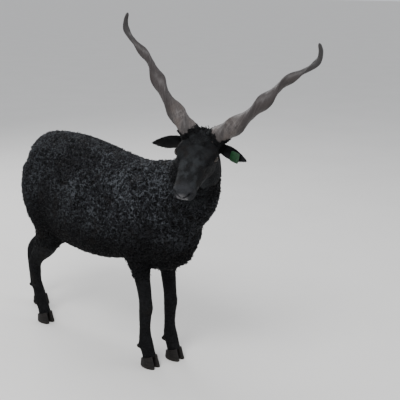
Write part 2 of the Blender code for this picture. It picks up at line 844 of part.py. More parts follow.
def ear_tag():
    middle, face, tip = tag_frame()
    front = middle + face * TAG_STAND[0]
    back = middle - face * TAG_STAND[1]
    up = face.cross(tip)
    wide, high, thick = TAG_PLATE
    rings = [
        super_ring(front + face * offset - up * 0.006, tip, up, wide / 2, high / 2, 16, 6.0)
        for offset in (0.0, thick)
    ]
    plate = loft("ear_tag", rings, parts)
    pin = rod("pin", back - face * 0.0006, front + face * thick * 0.5, TAG_PIN)
    button = rod("button", back - face * 0.0014, back, TAG_BUTTON, 16)
    boolean(plate, [pin], "UNION")
    boolean(plate, [button], "UNION")
    keep_largest(plate)


# Finish

COAT = (0.030, 0.030, 0.034)
FINISHES = {
    "horn": ((0.215, 0.195, 0.175), 0.62),
    "eye": ((0.020, 0.014, 0.010), 0.10),
    "hoof": ((0.045, 0.040, 0.037), 0.60),
    "ear_tag": ((0.060, 0.300, 0.130), 0.55),
}


def give_material(made):
    material = bpy.data.materials.new(made.name)
    material.use_nodes = True
    colour, rough = COAT, 0.85
    for word, finish in FINISHES.items():
        if made.name.startswith(word):
            colour, rough = finish
    shader = material.node_tree.nodes["Principled BSDF"]
    shader.inputs["Base Color"].default_value = (*colour, 1.0)
    shader.inputs["Roughness"].default_value = rough
    made.data.materials.clear()
    made.data.materials.append(material)
    for face in made.data.polygons:
        face.material_index = 0


def finish(made):
    made.hide_render = False
    made.display_type = "TEXTURED"
    made.data.shade_smooth()
    made.data.set_sharp_from_angle(angle=math.radians(35))
    give_material(made)


body = whole_body()
finish_head(body)
for side, hand in ((1, "left"), (-1, "right")):
    made, axis = horn(hand, side)
    clip_by(made, body, axis * GAP)
    made = ear("ear_" + hand, side)
    clip_by(made, body, ear_axes(side)[0] * GAP)
    eye_ball("eye_" + hand, side, EYE_RADIUS, parts)
    if hand == "left":
        middle, face, _ = tag_frame()
        boolean(made, [rod("hole", middle - face * 0.01, middle + face * 0.01, TAG_HOLE)], "DIFFERENCE")
        keep_largest(made)
ear_tag()
for cut in part_cuts():
    boolean(body, [cut], "DIFFERENCE")
for name, near in NODE_SEEDS.items():
    take_piece(body, name, near)
bpy.data.objects.remove(body)
for hand in ("left", "right"):
    for limb_name, feet in (("fore", FORE_FEET), ("hind", HIND_FEET)):
        for turn, claw_name in ((-1, "right"), (1, "left")):
            claw(f"hoof_{limb_name}_{hand}_{claw_name}_claw", feet[hand], turn)

# The origin goes to the middle of the footprint's box, on the floor
corners = [vert.co for made in parts.objects for vert in made.data.vertices]
low = [min(corner[k] for corner in corners) for k in range(3)]
high = [max(corner[k] for corner in corners) for k in range(3)]
SHIFT = Vector((-(low[0] + high[0]) / 2, -(low[1] + high[1]) / 2, -low[2]))
for made in parts.objects:
    made.data.transform(Matrix.Translation(SHIFT))
    finish(made)
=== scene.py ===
import bpy
import math
import numpy
from mathutils import Matrix, Vector
from mathutils.kdtree import KDTree


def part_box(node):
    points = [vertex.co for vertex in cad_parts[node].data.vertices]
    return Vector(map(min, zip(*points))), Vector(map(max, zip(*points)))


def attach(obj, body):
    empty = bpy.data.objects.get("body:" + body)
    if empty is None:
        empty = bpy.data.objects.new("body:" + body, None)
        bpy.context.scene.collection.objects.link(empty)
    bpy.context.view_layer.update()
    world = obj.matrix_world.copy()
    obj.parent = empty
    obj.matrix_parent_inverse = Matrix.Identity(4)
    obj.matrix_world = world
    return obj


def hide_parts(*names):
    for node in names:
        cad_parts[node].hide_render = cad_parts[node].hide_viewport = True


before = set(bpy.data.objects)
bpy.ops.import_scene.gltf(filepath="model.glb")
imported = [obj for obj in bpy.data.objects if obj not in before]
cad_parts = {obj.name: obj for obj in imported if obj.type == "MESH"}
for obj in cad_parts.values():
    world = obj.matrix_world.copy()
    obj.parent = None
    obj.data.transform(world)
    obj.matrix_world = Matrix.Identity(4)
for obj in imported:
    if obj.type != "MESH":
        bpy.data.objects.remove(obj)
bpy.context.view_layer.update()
print("frame loaded")

# The model's own axes: it faces -Y, its left is +X. The stance is told from a point between
# the fore hooves, and this moves it to the model's origin.
stance = Vector((0.03297, -0.13532, 0.0))

head = {
    "poll": Vector((-0.056, -0.238, 0.843)),
    "turn": math.radians(-63.5),
    "tip": math.radians(7.8),
    "pitch": math.radians(39.0),
}
pollPlace = head["poll"] + stance
headFrame = (
    Matrix.Translation(pollPlace)
    @ Matrix.Rotation(head["turn"], 4, "Z")
    @ Matrix.Rotation(head["tip"], 4, "Y")
    @ Matrix.Rotation(head["pitch"], 4, "X")
)


def onHead(side, along, rise):  # to the head's left, from poll to nose, out from the face
    return headFrame @ Vector((side, -along, rise))


def towardHead(side, along, rise):
    return (headFrame.to_3x3() @ Vector((side, -along, rise))).normalized()


def link(made):
    bpy.context.scene.collection.objects.link(made)


# Camera and light

view = {
    "place": Vector((-1.725, -1.691, 1.250)),
    "heading": Vector((0.7501, 0.6613, 0.0)),
    "pitch": math.radians(15.7),
    "lens": 70.2,
    "sensor": 36.0,
}


def addCamera():
    forward = view["heading"].normalized() * math.cos(view["pitch"])
    forward.z = -math.sin(view["pitch"])
    right = forward.cross(Vector((0, 0, 1))).normalized()
    up = right.cross(forward)
    lens = bpy.data.cameras.new("camera")
    lens.sensor_fit = "HORIZONTAL"
    lens.sensor_width = view["sensor"]
    lens.lens = view["lens"]
    lens.clip_start = 0.05
    camera = bpy.data.objects.new("camera", lens)
    link(camera)
    turn = Matrix((right, up, -forward)).transposed().to_4x4()
    camera.matrix_world = Matrix.Translation(view["place"] + stance) @ turn
    bpy.context.scene.camera = camera


addCamera()

lights = {
    "key": ((-2.2, -0.9, 3.4), 120.0, 1.5),
    "fill": ((1.9, -2.4, 2.0), 26.0, 2.4),
    "back": ((0.6, 2.6, 2.6), 70.0, 2.0),
}


def addLights():
    for name, (place, power, size) in lights.items():
        lamp = bpy.data.lights.new(name, "AREA")
        lamp.energy = power
        lamp.size = size
        made = bpy.data.objects.new(name, lamp)
        link(made)
        aim = (Vector((0, 0, 0.55)) - Vector(place)).normalized()
        turn = aim.to_track_quat("-Z", "Y").to_matrix().to_4x4()
        made.matrix_world = Matrix.Translation(place) @ turn
    world = bpy.data.worlds.new("studio")
    world.use_nodes = True
    shader = world.node_tree.nodes["Background"]
    shader.inputs["Color"].default_value = (0.86, 0.88, 0.92, 1)
    shader.inputs["Strength"].default_value = 0.85
    bpy.context.scene.world = world


addLights()


# Materials: sockets that can be added and multiplied, and one way to make any other node

class Value:
    def __init__(self, finish, socket):
        self.finish = finish
        self.socket = socket

    def combine(self, kind, first, second):
        return self.finish.node("ShaderNodeMath", {"operation": kind}, {0: first, 1: second})

    def __add__(self, other):
        return self.combine("ADD", self, other)

    def __radd__(self, other):
        return self.combine("ADD", other, self)

    def __sub__(self, other):
        return self.combine("SUBTRACT", self, other)

    def __rsub__(self, other):
        return self.combine("SUBTRACT", other, self)

    def __mul__(self, other):
        return self.combine("MULTIPLY", self, other)

    def __rmul__(self, other):
        return self.combine("MULTIPLY", other, self)

    def __truediv__(self, other):
        return self.combine("DIVIDE", self, other)

    def __rtruediv__(self, other):
        return self.combine("DIVIDE", other, self)

    def __pow__(self, other):
        return self.combine("POWER", self, other)

    def __abs__(self):
        return (self * self) ** 0.5


class Finish:
    def __init__(self, name, settings):
        self.material = bpy.data.materials.new(name)
        self.material.use_nodes = True
        self.tree = self.material.node_tree
        self.shader = self.tree.nodes["Principled BSDF"]
        for key, value in settings.items():
            self.shader.inputs[key].default_value = value

    def node(self, kind, settings, values, output=0):
        made = self.tree.nodes.new(kind)
        for key, value in settings.items():
            setattr(made, key, value)
        for key, value in values.items():
            self.feed(made.inputs[key], value)
        return Value(self, made.outputs[output])

    def feed(self, socket, value):
        if isinstance(value, Value):
            self.tree.links.new(value.socket, socket)
        else:
            socket.default_value = value

    def here(self):  # object coordinates
        return self.node("ShaderNodeTexCoord", {}, {}, "Object")

    def place(self, scale=(1, 1, 1)):  # the same, scaled
        return self.node("ShaderNodeMapping", {"vector_type": "POINT"}, {
            "Vector": self.here(), "Scale": scale})

    def noise(self, size, detail=3.0, rough=0.55, where=None):
        where = where or self.place()
        return self.node("ShaderNodeTexNoise", {}, {
            "Vector": where, "Scale": 1.0 / size, "Detail": detail, "Roughness": rough})

    def step(self, value, low, high):  # 0 below low, 1 above high
        return self.node("ShaderNodeMapRange", {"interpolation_type": "SMOOTHSTEP"}, {
            "Value": value, "From Min": low, "From Max": high, "To Min": 0.0, "To Max": 1.0})

    def mix(self, share, first, second):
        return self.node("ShaderNodeMix", {"data_type": "RGBA"}, {0: share, 6: first, 7: second}, 2)

    def blend(self, value, low, high, first, second):
        return self.mix(self.step(value, low, high), first, second)

    def near(self, centre):  # distance of a point of the surface from a place
        return self.node("ShaderNodeVectorMath", {"operation": "DISTANCE"}, {
            0: self.here(), 1: tuple(centre)}, "Value")

    def spot(self, centre, inner, outer):  # 1 around a place, 0 beyond it
        return 1.0 - self.step(self.near(centre), inner, outer)

    def along(self, centre, direction):  # signed reach from a place in a direction
        shift = self.node("ShaderNodeVectorMath", {"operation": "SUBTRACT"}, {
            0: self.here(), 1: tuple(centre)})
        return self.node("ShaderNodeVectorMath", {"operation": "DOT_PRODUCT"}, {
            0: shift, 1: tuple(direction)}, "Value")

    def bump(self, height, strength, distance):
        return self.node("ShaderNodeBump", {}, {
            "Height": height, "Strength": strength, "Distance": distance})

    def finish(self, **links):
        for key, value in links.items():
            self.feed(self.shader.inputs[key.replace("_", " ")], value)
        return self.material


def tone(red, green, blue):
    return red, green, blue, 1.0


eyes = {
    "place": (0.0525, 0.086, -0.019),
    "radius": 0.0124,
    "gaze": (0.80, 0.50, 0.30),
    "slit": (0.12, 1.0, -0.16),
}

nostrils = [(side * out, along, rise) for side in (-1, 1) for out, along, rise in (
    (0.0040, 0.2375, -0.0290), (0.0085, 0.2365, -0.0258),
    (0.0125, 0.2330, -0.0225), (0.0165, 0.2290, -0.0195))]

# The fleece: black, lighter high up and on the shoulder as painted light, with cool painted
# highlights on the crests of the curls, browner where the sun bleaches it

fleece = {
    "dark": tone(0.0026, 0.0026, 0.0031),
    # mid: the clumps' colour, shown more high up and on the shoulder as painted light
    "mid": tone(0.0190, 0.0200, 0.0232),
    # light: the colour of the painted highlights on the crests of the curls
    "light": tone(0.0860, 0.0940, 0.1050),
    "face": tone(0.0225, 0.0250, 0.0272),
    "nose": tone(0.0300, 0.0312, 0.0350),
    "brown": tone(0.0100, 0.0072, 0.0054),
    "clump": 0.014,
    "swirl": 0.017,
    "crest": 0.0070,
    "patch": 0.110,
}


def onFace(finish):  # 1 on the face, 0 on neck and body
    return finish.spot(onHead(0.0, 0.09, -0.04), 0.145, 0.185)


def faceColour(finish, clumps):  # darker toward the brow, painted shade on the cheeks with a painted highlight down the nose bridge between them, a paler muzzle
    mottles = finish.step(finish.noise(0.026, 2.5, 0.6), 0.42, 0.62)
    brow = finish.step(finish.near(onHead(0.0, 0.015, 0.0)), 0.070, 0.125)
    # painted shade: the sides of the face are darkened, which leaves the bridge of the nose lighter
    # as a painted highlight
    out = finish.along(pollPlace, towardHead(1.0, 0, 0))
    cheek = finish.step(abs(out), 0.016, 0.046)
    lit = (mottles * 0.70 + clumps * 0.30) * (0.45 + 0.55 * brow) * (1.0 - 0.60 * cheek)
    plain = finish.mix(lit, fleece["dark"], fleece["face"])
    muzzle = finish.spot(onHead(0.0, 0.222, -0.026), 0.022, 0.046)
    return finish.mix(muzzle * 0.70, plain, fleece["nose"])


def coatColour(finish):
    clumps = finish.noise(fleece["clump"], 2.5, 0.6)
    patches = finish.noise(fleece["patch"], 2.0, 0.5)
    crests = finish.noise(fleece["crest"], 1.0, 0.5)
    swirls = finish.noise(fleece["swirl"], 1.5, 0.5) - 0.5
    lines = 1.0 - finish.step(abs(swirls), 0.010, 0.075)
    # painted light: the clumps are lighter high on the body and on the shoulder, darker low down
    height = finish.along(stance, (0.0, 0.0, 1.0))
    back = finish.along(stance, (0.0, 1.0, 0.0)) - 0.08
    shoulder = 1.0 - finish.step(abs(back), 0.10, 0.30)
    high = finish.step(height, 0.40, 0.56)
    lit = 0.12 + 0.50 * high + 0.38 * high * shoulder
    shade = finish.mix(finish.step(clumps, 0.36, 0.60) * lit, fleece["dark"], fleece["mid"])
    # painted highlights: squiggles on the crests of the curls, strongest high up and on the shoulder
    painted_glints = finish.step(crests * 0.36 + patches * 0.50 + lines * 0.14, 0.45, 0.66)
    share = painted_glints * (0.62 + 0.38 * lines)
    shade = finish.mix(share * (0.05 + high * (0.50 + 0.46 * shoulder)), shade, fleece["light"])
    shade = finish.mix(onFace(finish), shade, faceColour(finish, clumps))
    bleach = finish.step(finish.noise(0.05, 2.0), 0.56, 0.72) * 0.4
    return finish.mix(bleach, shade, fleece["brown"])


def makeCoat():
    finish = Finish("fleece", {"Roughness": 0.55, "Specular IOR Level": 0.12})
    fine = finish.noise(0.0016, 2.0, 0.6)
    return finish.finish(
        Base_Color=coatColour(finish),
        Roughness=0.42 + 0.24 * fine,
        Normal=finish.bump(fine, 0.5, 0.0008))


def hairs(finish):  # short hair as streaks from the forehead to the nose and down the cheeks
    axes = towardHead(0, 0.8, -0.6), towardHead(1.0, 0, 0), towardHead(0, 0.6, 0.8)
    reach, out, over = (finish.along(pollPlace, axis) for axis in axes)
    way = finish.node("ShaderNodeCombineXYZ", {}, {0: reach * 0.22, 1: out, 2: over})
    return finish.noise(0.0011, 2.0, 0.6, way)


leather = {
    "dark": tone(0.032, 0.0315, 0.0350),
    "light": tone(0.090, 0.089, 0.096),
    "lip": tone(0.040, 0.037, 0.037),
    "painted_slit_shade": tone(0.0015, 0.0014, 0.0015),
    # painted shade for the skin between the curls of the wool
    "shade": tone(0.0010, 0.0010, 0.0012),
}


def makeSkin():
    finish = Finish("skin", {"Roughness": 0.6, "Specular IOR Level": 0.10})
    bare = finish.spot(onHead(0.0, 0.234, -0.034), 0.014, 0.025)
    edges = [finish.near(onHead(side * eyes["place"][0], *eyes["place"][1:])) for side in (-1, 1)]
    edge = edges[0].combine("MINIMUM", *edges)
    wet = 1.0 - finish.step(edge, eyes["radius"] + 0.0007, eyes["radius"] + 0.0013)
    grain = finish.noise(0.0022, 3.0, 0.6)
    fine = finish.noise(0.0009, 2.0, 0.6)
    nose = finish.blend(grain, 0.35, 0.65, leather["dark"], leather["light"])
    lips = finish.spot(onHead(0.006, 0.226, -0.050), 0.006, 0.017)
    nose = finish.mix(lips * 0.4, nose, leather["lip"])
    for side, along, rise in nostrils:  # painted shade: the slits are painted black inside
        inside = finish.spot(onHead(side, along, rise), 0.0022, 0.0044)
        nose = finish.mix(inside, nose, leather["painted_slit_shade"])
    legs = 1.0 - finish.step(finish.along(stance, (0.0, 0.0, 1.0)), 0.30, 0.36)
    under = (1.0 - onFace(finish)) * (1.0 - legs) * 0.8  # painted shade between the curls
    wool = finish.mix(under, coatColour(finish), leather["shade"])
    return finish.finish(
        Base_Color=finish.mix(bare, wool, nose),
        Roughness=0.62 - bare * 0.30 - wet * 0.25 + fine * 0.08,
        Coat_Weight=bare * 0.45 + wet * 0.30,
        Normal=finish.bump(hairs(finish) * 0.6 + grain * 0.2 + fine * 0.2, 0.6, 0.0011))


hornTones = {
    "dark": tone(0.036, 0.030, 0.029),
    "light": tone(0.096, 0.084, 0.080),
    "warm": tone(0.100, 0.078, 0.066),
    # edge: painted shade on the narrow edges of the turning section
    "edge": tone(0.026, 0.023, 0.023),
    "blade": tone(0.023, 0.0182, 0.0184),
    "tip": tone(0.028, 0.0275, 0.0282),
}


def makeHorn(name, seat, axes):
    finish = Finish(name, {"Roughness": 0.5, "Specular IOR Level": 0.35})
    reach, out, over = (finish.along(seat, axis) for axis in axes)
    share = reach / horns["length"]
    first, whole, tighten = horns["turns"]
    turn = math.pi * (first + whole * share + tighten * share ** 6.0)
    cosine = finish.node("ShaderNodeMath", {"operation": "COSINE"}, {0: turn})
    sine = finish.node("ShaderNodeMath", {"operation": "SINE"}, {0: turn})
    flat = out * cosine + over * sine
    deep = over * cosine - out * sine
    grainWay = finish.node("ShaderNodeCombineXYZ", {}, {0: flat, 1: deep, 2: reach * 0.14})
    streaks = finish.noise(0.0042, 3.0, 0.6, grainWay)
    cloud = finish.noise(0.018, 3.0, 0.55)
    growth = reach * 190.0 + cloud * 3.0
    row = finish.node("ShaderNodeCombineXYZ", {}, {0: growth, 1: 0.0, 2: 0.0})
    rings = finish.noise(1.0, 2.0, 0.6, row)
    grain = finish.noise(0.0022, 3.0, 0.65)
    # painted shade: the narrow edges of the turning section are darkened to show the fold
    edge = finish.step(abs(flat) / (0.030 - 0.022 * share), 0.62, 1.0)
    pattern = streaks * 0.50 + rings * 0.28 + grain * 0.22
    shade = finish.blend(pattern, 0.38, 0.62, hornTones["dark"], hornTones["light"])
    warm = finish.step(finish.noise(0.045, 2.0), 0.46, 0.66) * 0.35
    shade = finish.mix(warm, shade, hornTones["warm"])
    shade = finish.mix(edge * 0.60, shade, hornTones["edge"])
    shade = finish.mix(finish.step(share, 0.05, 0.36) * 0.74, shade, hornTones["blade"])
    shade = finish.mix(finish.step(share, 0.60, 0.95) * 0.70, shade, hornTones["tip"])
    return finish.finish(
        Base_Color=shade,
        Roughness=0.40 + 0.30 * grain,
        Normal=finish.bump(streaks * 0.5 + rings * 0.3 + grain * 0.2, 0.6, 0.0012))


hoofTones = {
    "dark": tone(0.0045, 0.0040, 0.0040),
    "light": tone(0.013, 0.0110, 0.0100),
    "dust": tone(0.040, 0.032, 0.023),
}


def makeHoof():
    finish = Finish("hoofHorn", {"Roughness": 0.55, "Specular IOR Level": 0.20})
    bands = finish.noise(0.006, 2.0, 0.5, finish.place(scale=(0.35, 0.35, 2.2)))
    grain = finish.noise(0.0018, 3.0, 0.65)
    shade = finish.blend(bands, 0.38, 0.62, hoofTones["dark"], hoofTones["light"])
    height = finish.along((0.0, 0.0, 0.0), (0.0, 0.0, 1.0))
    dust = 1.0 - finish.step(height + grain * 0.006, 0.003, 0.013)
    shade = finish.mix(dust * 0.30, shade, hoofTones["dust"])
    return finish.finish(
        Base_Color=shade,
        Roughness=0.46 + 0.30 * grain,
        Normal=finish.bump(bands * 0.75 + grain * 0.25, 0.6, 0.0012))


eyeTones = {
    "dark": tone(0.010, 0.0055, 0.0030),
    "light": tone(0.026, 0.013, 0.0060),
    "rim": tone(0.0080, 0.0065, 0.0065),
    "pupil": tone(0.002, 0.002, 0.0025),
}


def makeEye(name, centre, slit, upper):
    finish = Finish(name, {"Roughness": 0.08, "Specular IOR Level": 0.42})
    across = finish.along(centre, slit)
    tall = finish.along(centre, upper)
    ring = (across * across + tall * tall) ** 0.5
    iris = 1.0 - finish.step(ring, 0.0082, 0.0092)
    rays = finish.noise(0.0012, 3.0, 0.6)
    pupil = 1.0 - finish.step(((across / 0.0046) ** 4.0 + (tall / 0.0021) ** 4.0), 0.75, 1.3)
    shade = finish.mix(rays, eyeTones["dark"], eyeTones["light"])
    shade = finish.mix(iris, eyeTones["rim"], shade)
    return finish.finish(
        Base_Color=finish.mix(pupil, shade, eyeTones["pupil"]),
        Roughness=0.05 + 0.05 * rays)


tagTones = {
    "dark": tone(0.0042, 0.027, 0.0088),
    "light": tone(0.0072, 0.046, 0.0150),
    "pale_streak": tone(0.075, 0.110, 0.082),
}


def makeTag():
    finish = Finish("tagPlastic", {"Roughness": 0.4, "Specular IOR Level": 0.45})
    cloud = finish.noise(0.009, 3.0, 0.6)
    grain = finish.noise(0.0012, 2.0, 0.6)
    shade = finish.blend(cloud, 0.35, 0.68, tagTones["dark"], tagTones["light"])
    # pale streaks, stretched up and down
    pale_streaks = finish.noise(0.0030, 3.0, 0.6, finish.place(scale=(1.0, 1.0, 0.3)))
    shade = finish.mix(finish.step(pale_streaks, 0.60, 0.70) * 0.45, shade, tagTones["pale_streak"])
    return finish.finish(
        Base_Color=shade,
        Roughness=0.34 + 0.22 * grain,
        Normal=finish.bump(grain, 0.25, 0.0004))


coatFinish = makeCoat()
skinFinish = makeSkin()
hoofFinish = makeHoof()


# Small tools

def deselectAll():
    if bpy.context.object and bpy.context.object.mode != "OBJECT":
        leaveEdit()
    bpy.ops.object.select_all(action="DESELECT")


def pick(piece):
    deselectAll()
    piece.select_set(True)
    bpy.context.view_layer.objects.active = piece


def applyAll(piece):
    pick(piece)
    for change in list(piece.modifiers):
        bpy.ops.object.modifier_apply(modifier=change.name)


def rebuild(piece, voxel, rounds):  # one even surface, softened
    change = piece.modifiers.new("one", "REMESH")
    change.mode = "VOXEL"
    change.voxel_size = voxel
    soften(piece, 0.5, rounds)


def soften(piece, factor, rounds):
    change = piece.modifiers.new("smooth", "SMOOTH")
    change.factor = factor
    change.iterations = rounds
    applyAll(piece)


def smoothAs(piece, finish):
    pick(piece)
    bpy.ops.object.shade_smooth()
    piece.data.materials.clear()
    piece.data.materials.append(finish)


def editAll(piece):  # edit mode with everything selected
    pick(piece)
    bpy.ops.object.mode_set(mode="EDIT")
    bpy.ops.mesh.select_all(action="SELECT")


def leaveEdit():
    bpy.ops.object.mode_set(mode="OBJECT")


def copyNodes(name, nodes):  # one mesh of several CAD nodes, merged
    copies = []
    for node in nodes:
        source = bpy.data.objects[node]
        made = source.copy()
        made.data = source.data.copy()
        link(made)
        made.data.transform(source.matrix_world)
        made.matrix_world = Matrix.Identity(4)
        made.data.materials.clear()
        copies.append(made)
    deselectAll()
    for made in copies:
        made.select_set(True)
    bpy.context.view_layer.objects.active = copies[0]
    if len(copies) > 1:
        bpy.ops.object.join()
    piece = bpy.context.view_layer.objects.active
    piece.name = name
    editAll(piece)
    bpy.ops.mesh.remove_doubles(threshold=0.00001)
    leaveEdit()
    return piece


def readOut(items, key, width, kind=float):  # one row of numbers for each item of a mesh
    out = numpy.empty(len(items) * width, dtype=kind)
    items.foreach_get(key, out)
    return out.reshape(-1, width)


def places(piece):
    return readOut(piece.data.vertices, "co", 3)


def normals(piece):
    return readOut(piece.data.vertex_normals, "vector", 3)


def setPlaces(piece, where):
    piece.data.vertices.foreach_set("co", where.ravel())
    piece.data.update()


def smoothStep(value, low, high):
    share = numpy.clip((value - low) / (high - low), 0.0, 1.0)
    return share * share * (3 - 2 * share)


def inHead(where):  # side, along, rise of many places
    turn = numpy.array(headFrame.inverted())
    local = where @ turn[:3, :3].T + turn[:3, 3]
    return numpy.stack([local[:, 0], -local[:, 1], local[:, 2]], axis=1)


def unit(vectors):
    return vectors / numpy.maximum(numpy.linalg.norm(vectors, axis=1), 1e-9)[:, None]


def farFrom(where, place):
    return numpy.linalg.norm(where - numpy.array(place), axis=1)


def treeOf(spots):
    tree = KDTree(len(spots))
    for i, spot in enumerate(spots):
        tree.insert(spot, i)
    tree.balance()
    return tree


def fromPath(spots, path):  # distance of each spot from a path, and its share of the way along
    reach = numpy.full(len(spots), numpy.inf)
    share = numpy.zeros(len(spots))
    for i, (start, end) in enumerate(zip(path[:-1], path[1:])):
        line = end - start
        part = numpy.clip((spots - start) @ line / (line @ line), 0, 1)
        gap = numpy.linalg.norm(spots - start - part[:, None] * line, axis=1)
        share = numpy.where(gap < reach, (i + part) / (len(path) - 1), share)
        reach = numpy.minimum(gap, reach)
    return reach, share


def spline(rows, steps):  # Catmull-Rom samples through rows of numbers
    rows = [rows[0]] + list(rows) + [rows[-1]]
    out = []
    for i in range(1, len(rows) - 2):
        for k in range(steps):
            t = k / steps
            out.append([
                0.5 * (2 * q + (r - p) * t + (2 * p - 5 * q + 4 * r - s) * t * t
                       + (3 * q - p - 3 * r + s) * t ** 3)
                for p, q, r, s in zip(rows[i - 1], rows[i], rows[i + 1], rows[i + 2])
            ])
    out.append(list(rows[-1]))
    return out


# Skin: one closed surface over all the flesh, inside the coat by the coat's depth

fleshNodes = ["head", "neck", "torso", "tail", "fore_leg_left", "fore_leg_right",
              "hind_leg_left", "hind_leg_right", "ear_left", "ear_right"]
skinShape = {
    "overlap": 0.0004,
    "voxel": 0.0021,
    "smooth": 6,
    "triangles": 106000,
    "bodyInset": 0.0070,
    "legInset": 0.0022,
    "faceInset": 0.0012,
    "tailInset": 0.0040,
    "faceLevels": 5,
}
coronet = {"back": -0.008, "height": 0.036, "tilt": 0.30, "sink": 0.0065, "reach": 0.045}
feet = {
    "fore_left": (0.047, -0.001),
    "fore_right": (-0.050, 0.021),
    "hind_left": (0.040, 0.728),
    "hind_right": (-0.056, 0.575),
}


def headShare(where):  # 1 on the face and ears, 0 on the neck
    local = inHead(where)
    behind = smoothStep(local[:, 1], -0.012, 0.030)
    below = smoothStep(local[:, 2], -0.155, -0.120)
    aside = 1 - smoothStep(numpy.abs(local[:, 0]), 0.150, 0.165)
    return behind * below * aside


def coatDepth(where):
    above = smoothStep(where[:, 2], 0.27, 0.40)
    face = headShare(where)
    depth = skinShape["legInset"] + (skinShape["bodyInset"] - skinShape["legInset"]) * above
    tail = smoothStep(where[:, 1], 0.470, 0.485) * smoothStep(where[:, 2], 0.37, 0.38)
    depth = depth * (1 - tail) + skinShape["tailInset"] * tail
    return depth * (1 - face) + skinShape["faceInset"] * face


def largestOnly(piece):
    editAll(piece)
    bpy.ops.mesh.separate(type="LOOSE")
    leaveEdit()
    bits = list(bpy.context.selected_objects)
    bits.sort(key=lambda bit: len(bit.data.vertices))
    for bit in bits[:-1]:
        bpy.data.objects.remove(bit)
    return bits[-1]


def makeSkinPiece():
    skin = copyNodes("skin", fleshNodes + ["eye_left", "eye_right"])
    editAll(skin)
    bpy.ops.transform.shrink_fatten(value=skinShape["overlap"])
    leaveEdit()
    rebuild(skin, skinShape["voxel"], skinShape["smooth"])
    skin = largestOnly(skin)
    skin.name = "skin"
    where = places(skin)
    keep = skin.vertex_groups.new(name="thin")
    face = headShare(where)
    levels = skinShape["faceLevels"]
    for level in range(levels):
        last = level == levels - 1
        chosen = numpy.nonzero((face >= level / levels) & (face < (level + 1) / levels + last))[0]
        keep.add(chosen.tolist(), 1.0 - 0.92 * level / (levels - 1), "REPLACE")
    change = skin.modifiers.new("thin", "DECIMATE")
    change.vertex_group = "thin"
    change.ratio = skinShape["triangles"] / (2 * len(skin.data.polygons))
    change.use_collapse_triangulate = True
    applyAll(skin)
    skin.vertex_groups.clear()
    where = places(skin)
    where -= normals(skin) * coatDepth(where)[:, None]
    for out, back in feet.values():
        middle = numpy.array(stance) + (out, back + coronet["back"], coronet["height"])
        slope = numpy.array((0.0, coronet["tilt"], 1.0))
        slope /= numpy.linalg.norm(slope)
        reach = where - middle
        above = reach @ slope
        by = numpy.linalg.norm(reach, axis=1) < coronet["reach"]
        where -= (by * (1 - smoothStep(above, 0.001, 0.009)) * coronet["sink"])[:, None] * slope
    setPlaces(skin, where)
    soften(skin, 0.4, 2)
    return skin


skin = makeSkinPiece()
print("skin", len(skin.data.polygons))


# Forms pressed into or raised from the face, by paths on the head

fineSpots = [  # side, along, rise; reach; cuts of each edge
    ((0.0, 0.228, -0.034), 0.027, 3),
    ((0.0560, 0.088, -0.018), 0.0185, 4),
    ((-0.0560, 0.088, -0.018), 0.0185, 4),
    ((0.0260, 0.206, -0.053), 0.020, 2),
    ((-0.0260, 0.206, -0.053), 0.020, 2),
]
smallestFace = 0.0000006  # square metres


def refineFace():
    pick(skin)
    for spot, reach, cuts in fineSpots:
        chosen = farFrom(readOut(skin.data.polygons, "center", 3), onHead(*spot)) < reach
        chosen &= readOut(skin.data.polygons, "area", 1)[:, 0] > smallestFace
        bpy.ops.object.mode_set(mode="EDIT")
        bpy.ops.mesh.select_mode(type="FACE")
        bpy.ops.mesh.select_all(action="DESELECT")
        leaveEdit()
        skin.data.polygons.foreach_set("select", chosen)
        bpy.ops.object.mode_set(mode="EDIT")
        bpy.ops.mesh.subdivide(number_cuts=cuts, smoothness=0.4)
        bpy.ops.mesh.select_all(action="SELECT")
        bpy.ops.mesh.quads_convert_to_tris()
        leaveEdit()
    print("face refined to", len(skin.data.polygons))


refineFace()


faceForms = {  # path of side, along, rise; width; height, which is negative for a groove
    "philtrum": ([(0.0, 0.241, -0.030), (0.0, 0.239, -0.040), (0.0, 0.235, -0.050)],
                 0.0011, -0.0012),
    "mouth": ([(0.0005, 0.236, -0.050), (0.0130, 0.229, -0.052), (0.0240, 0.212, -0.054),
               (0.0320, 0.188, -0.055)], 0.0022, -0.0030),
    "upperLip": ([(0.0040, 0.236, -0.045), (0.0160, 0.226, -0.045), (0.0260, 0.205, -0.047)],
                 0.0045, 0.0012),
    "lowerLip": ([(0.0010, 0.231, -0.056), (0.0130, 0.223, -0.058), (0.0240, 0.205, -0.060)],
                 0.0045, 0.0010),
    "tearPit": ([(0.0480, 0.112, -0.022), (0.0440, 0.124, -0.022), (0.0400, 0.136, -0.022)],
                0.0045, -0.0016),
    "cheekRidge": ([(0.0520, 0.118, -0.040), (0.0440, 0.146, -0.040), (0.0370, 0.172, -0.040)],
                   0.0060, 0.0016),
    "brow": ([(0.0460, 0.070, -0.002), (0.0530, 0.086, -0.001), (0.0500, 0.104, -0.006)],
             0.0055, 0.0018),
    "underFold": ([(0.0600, 0.076, -0.034), (0.0610, 0.092, -0.036), (0.0550, 0.106, -0.036)],
                  0.0024, -0.0010),
    "jawHollow": ([(0.0430, 0.110, -0.074), (0.0370, 0.140, -0.066), (0.0330, 0.165, -0.060)],
                  0.0070, -0.0015),
}


def shapeFace():
    where = places(skin)
    for path, wide, height in faceForms.values():
        for side in (-1, 1):
            close = numpy.nonzero(headShare(where) > 0.5)[0]
            points = numpy.array(spline([(side * a, b, c) for a, b, c in path], 4))
            reach = fromPath(inHead(where)[close], points)[0]
            lift = height * numpy.exp(-(reach / wide) ** 2)
            where[close] += normals(skin)[close] * lift[:, None]
            setPlaces(skin, where)


shapeFace()

nose = {
    "slit": [(0.0034, -0.0295), (0.0080, -0.0262), (0.0150, -0.0205), (0.0180, -0.0182),
             (0.0205, -0.0160)],
    "wide": (0.0020, 0.0031),
    "deep": (0.0065, 0.0090),
    "rim": 0.0018,
}


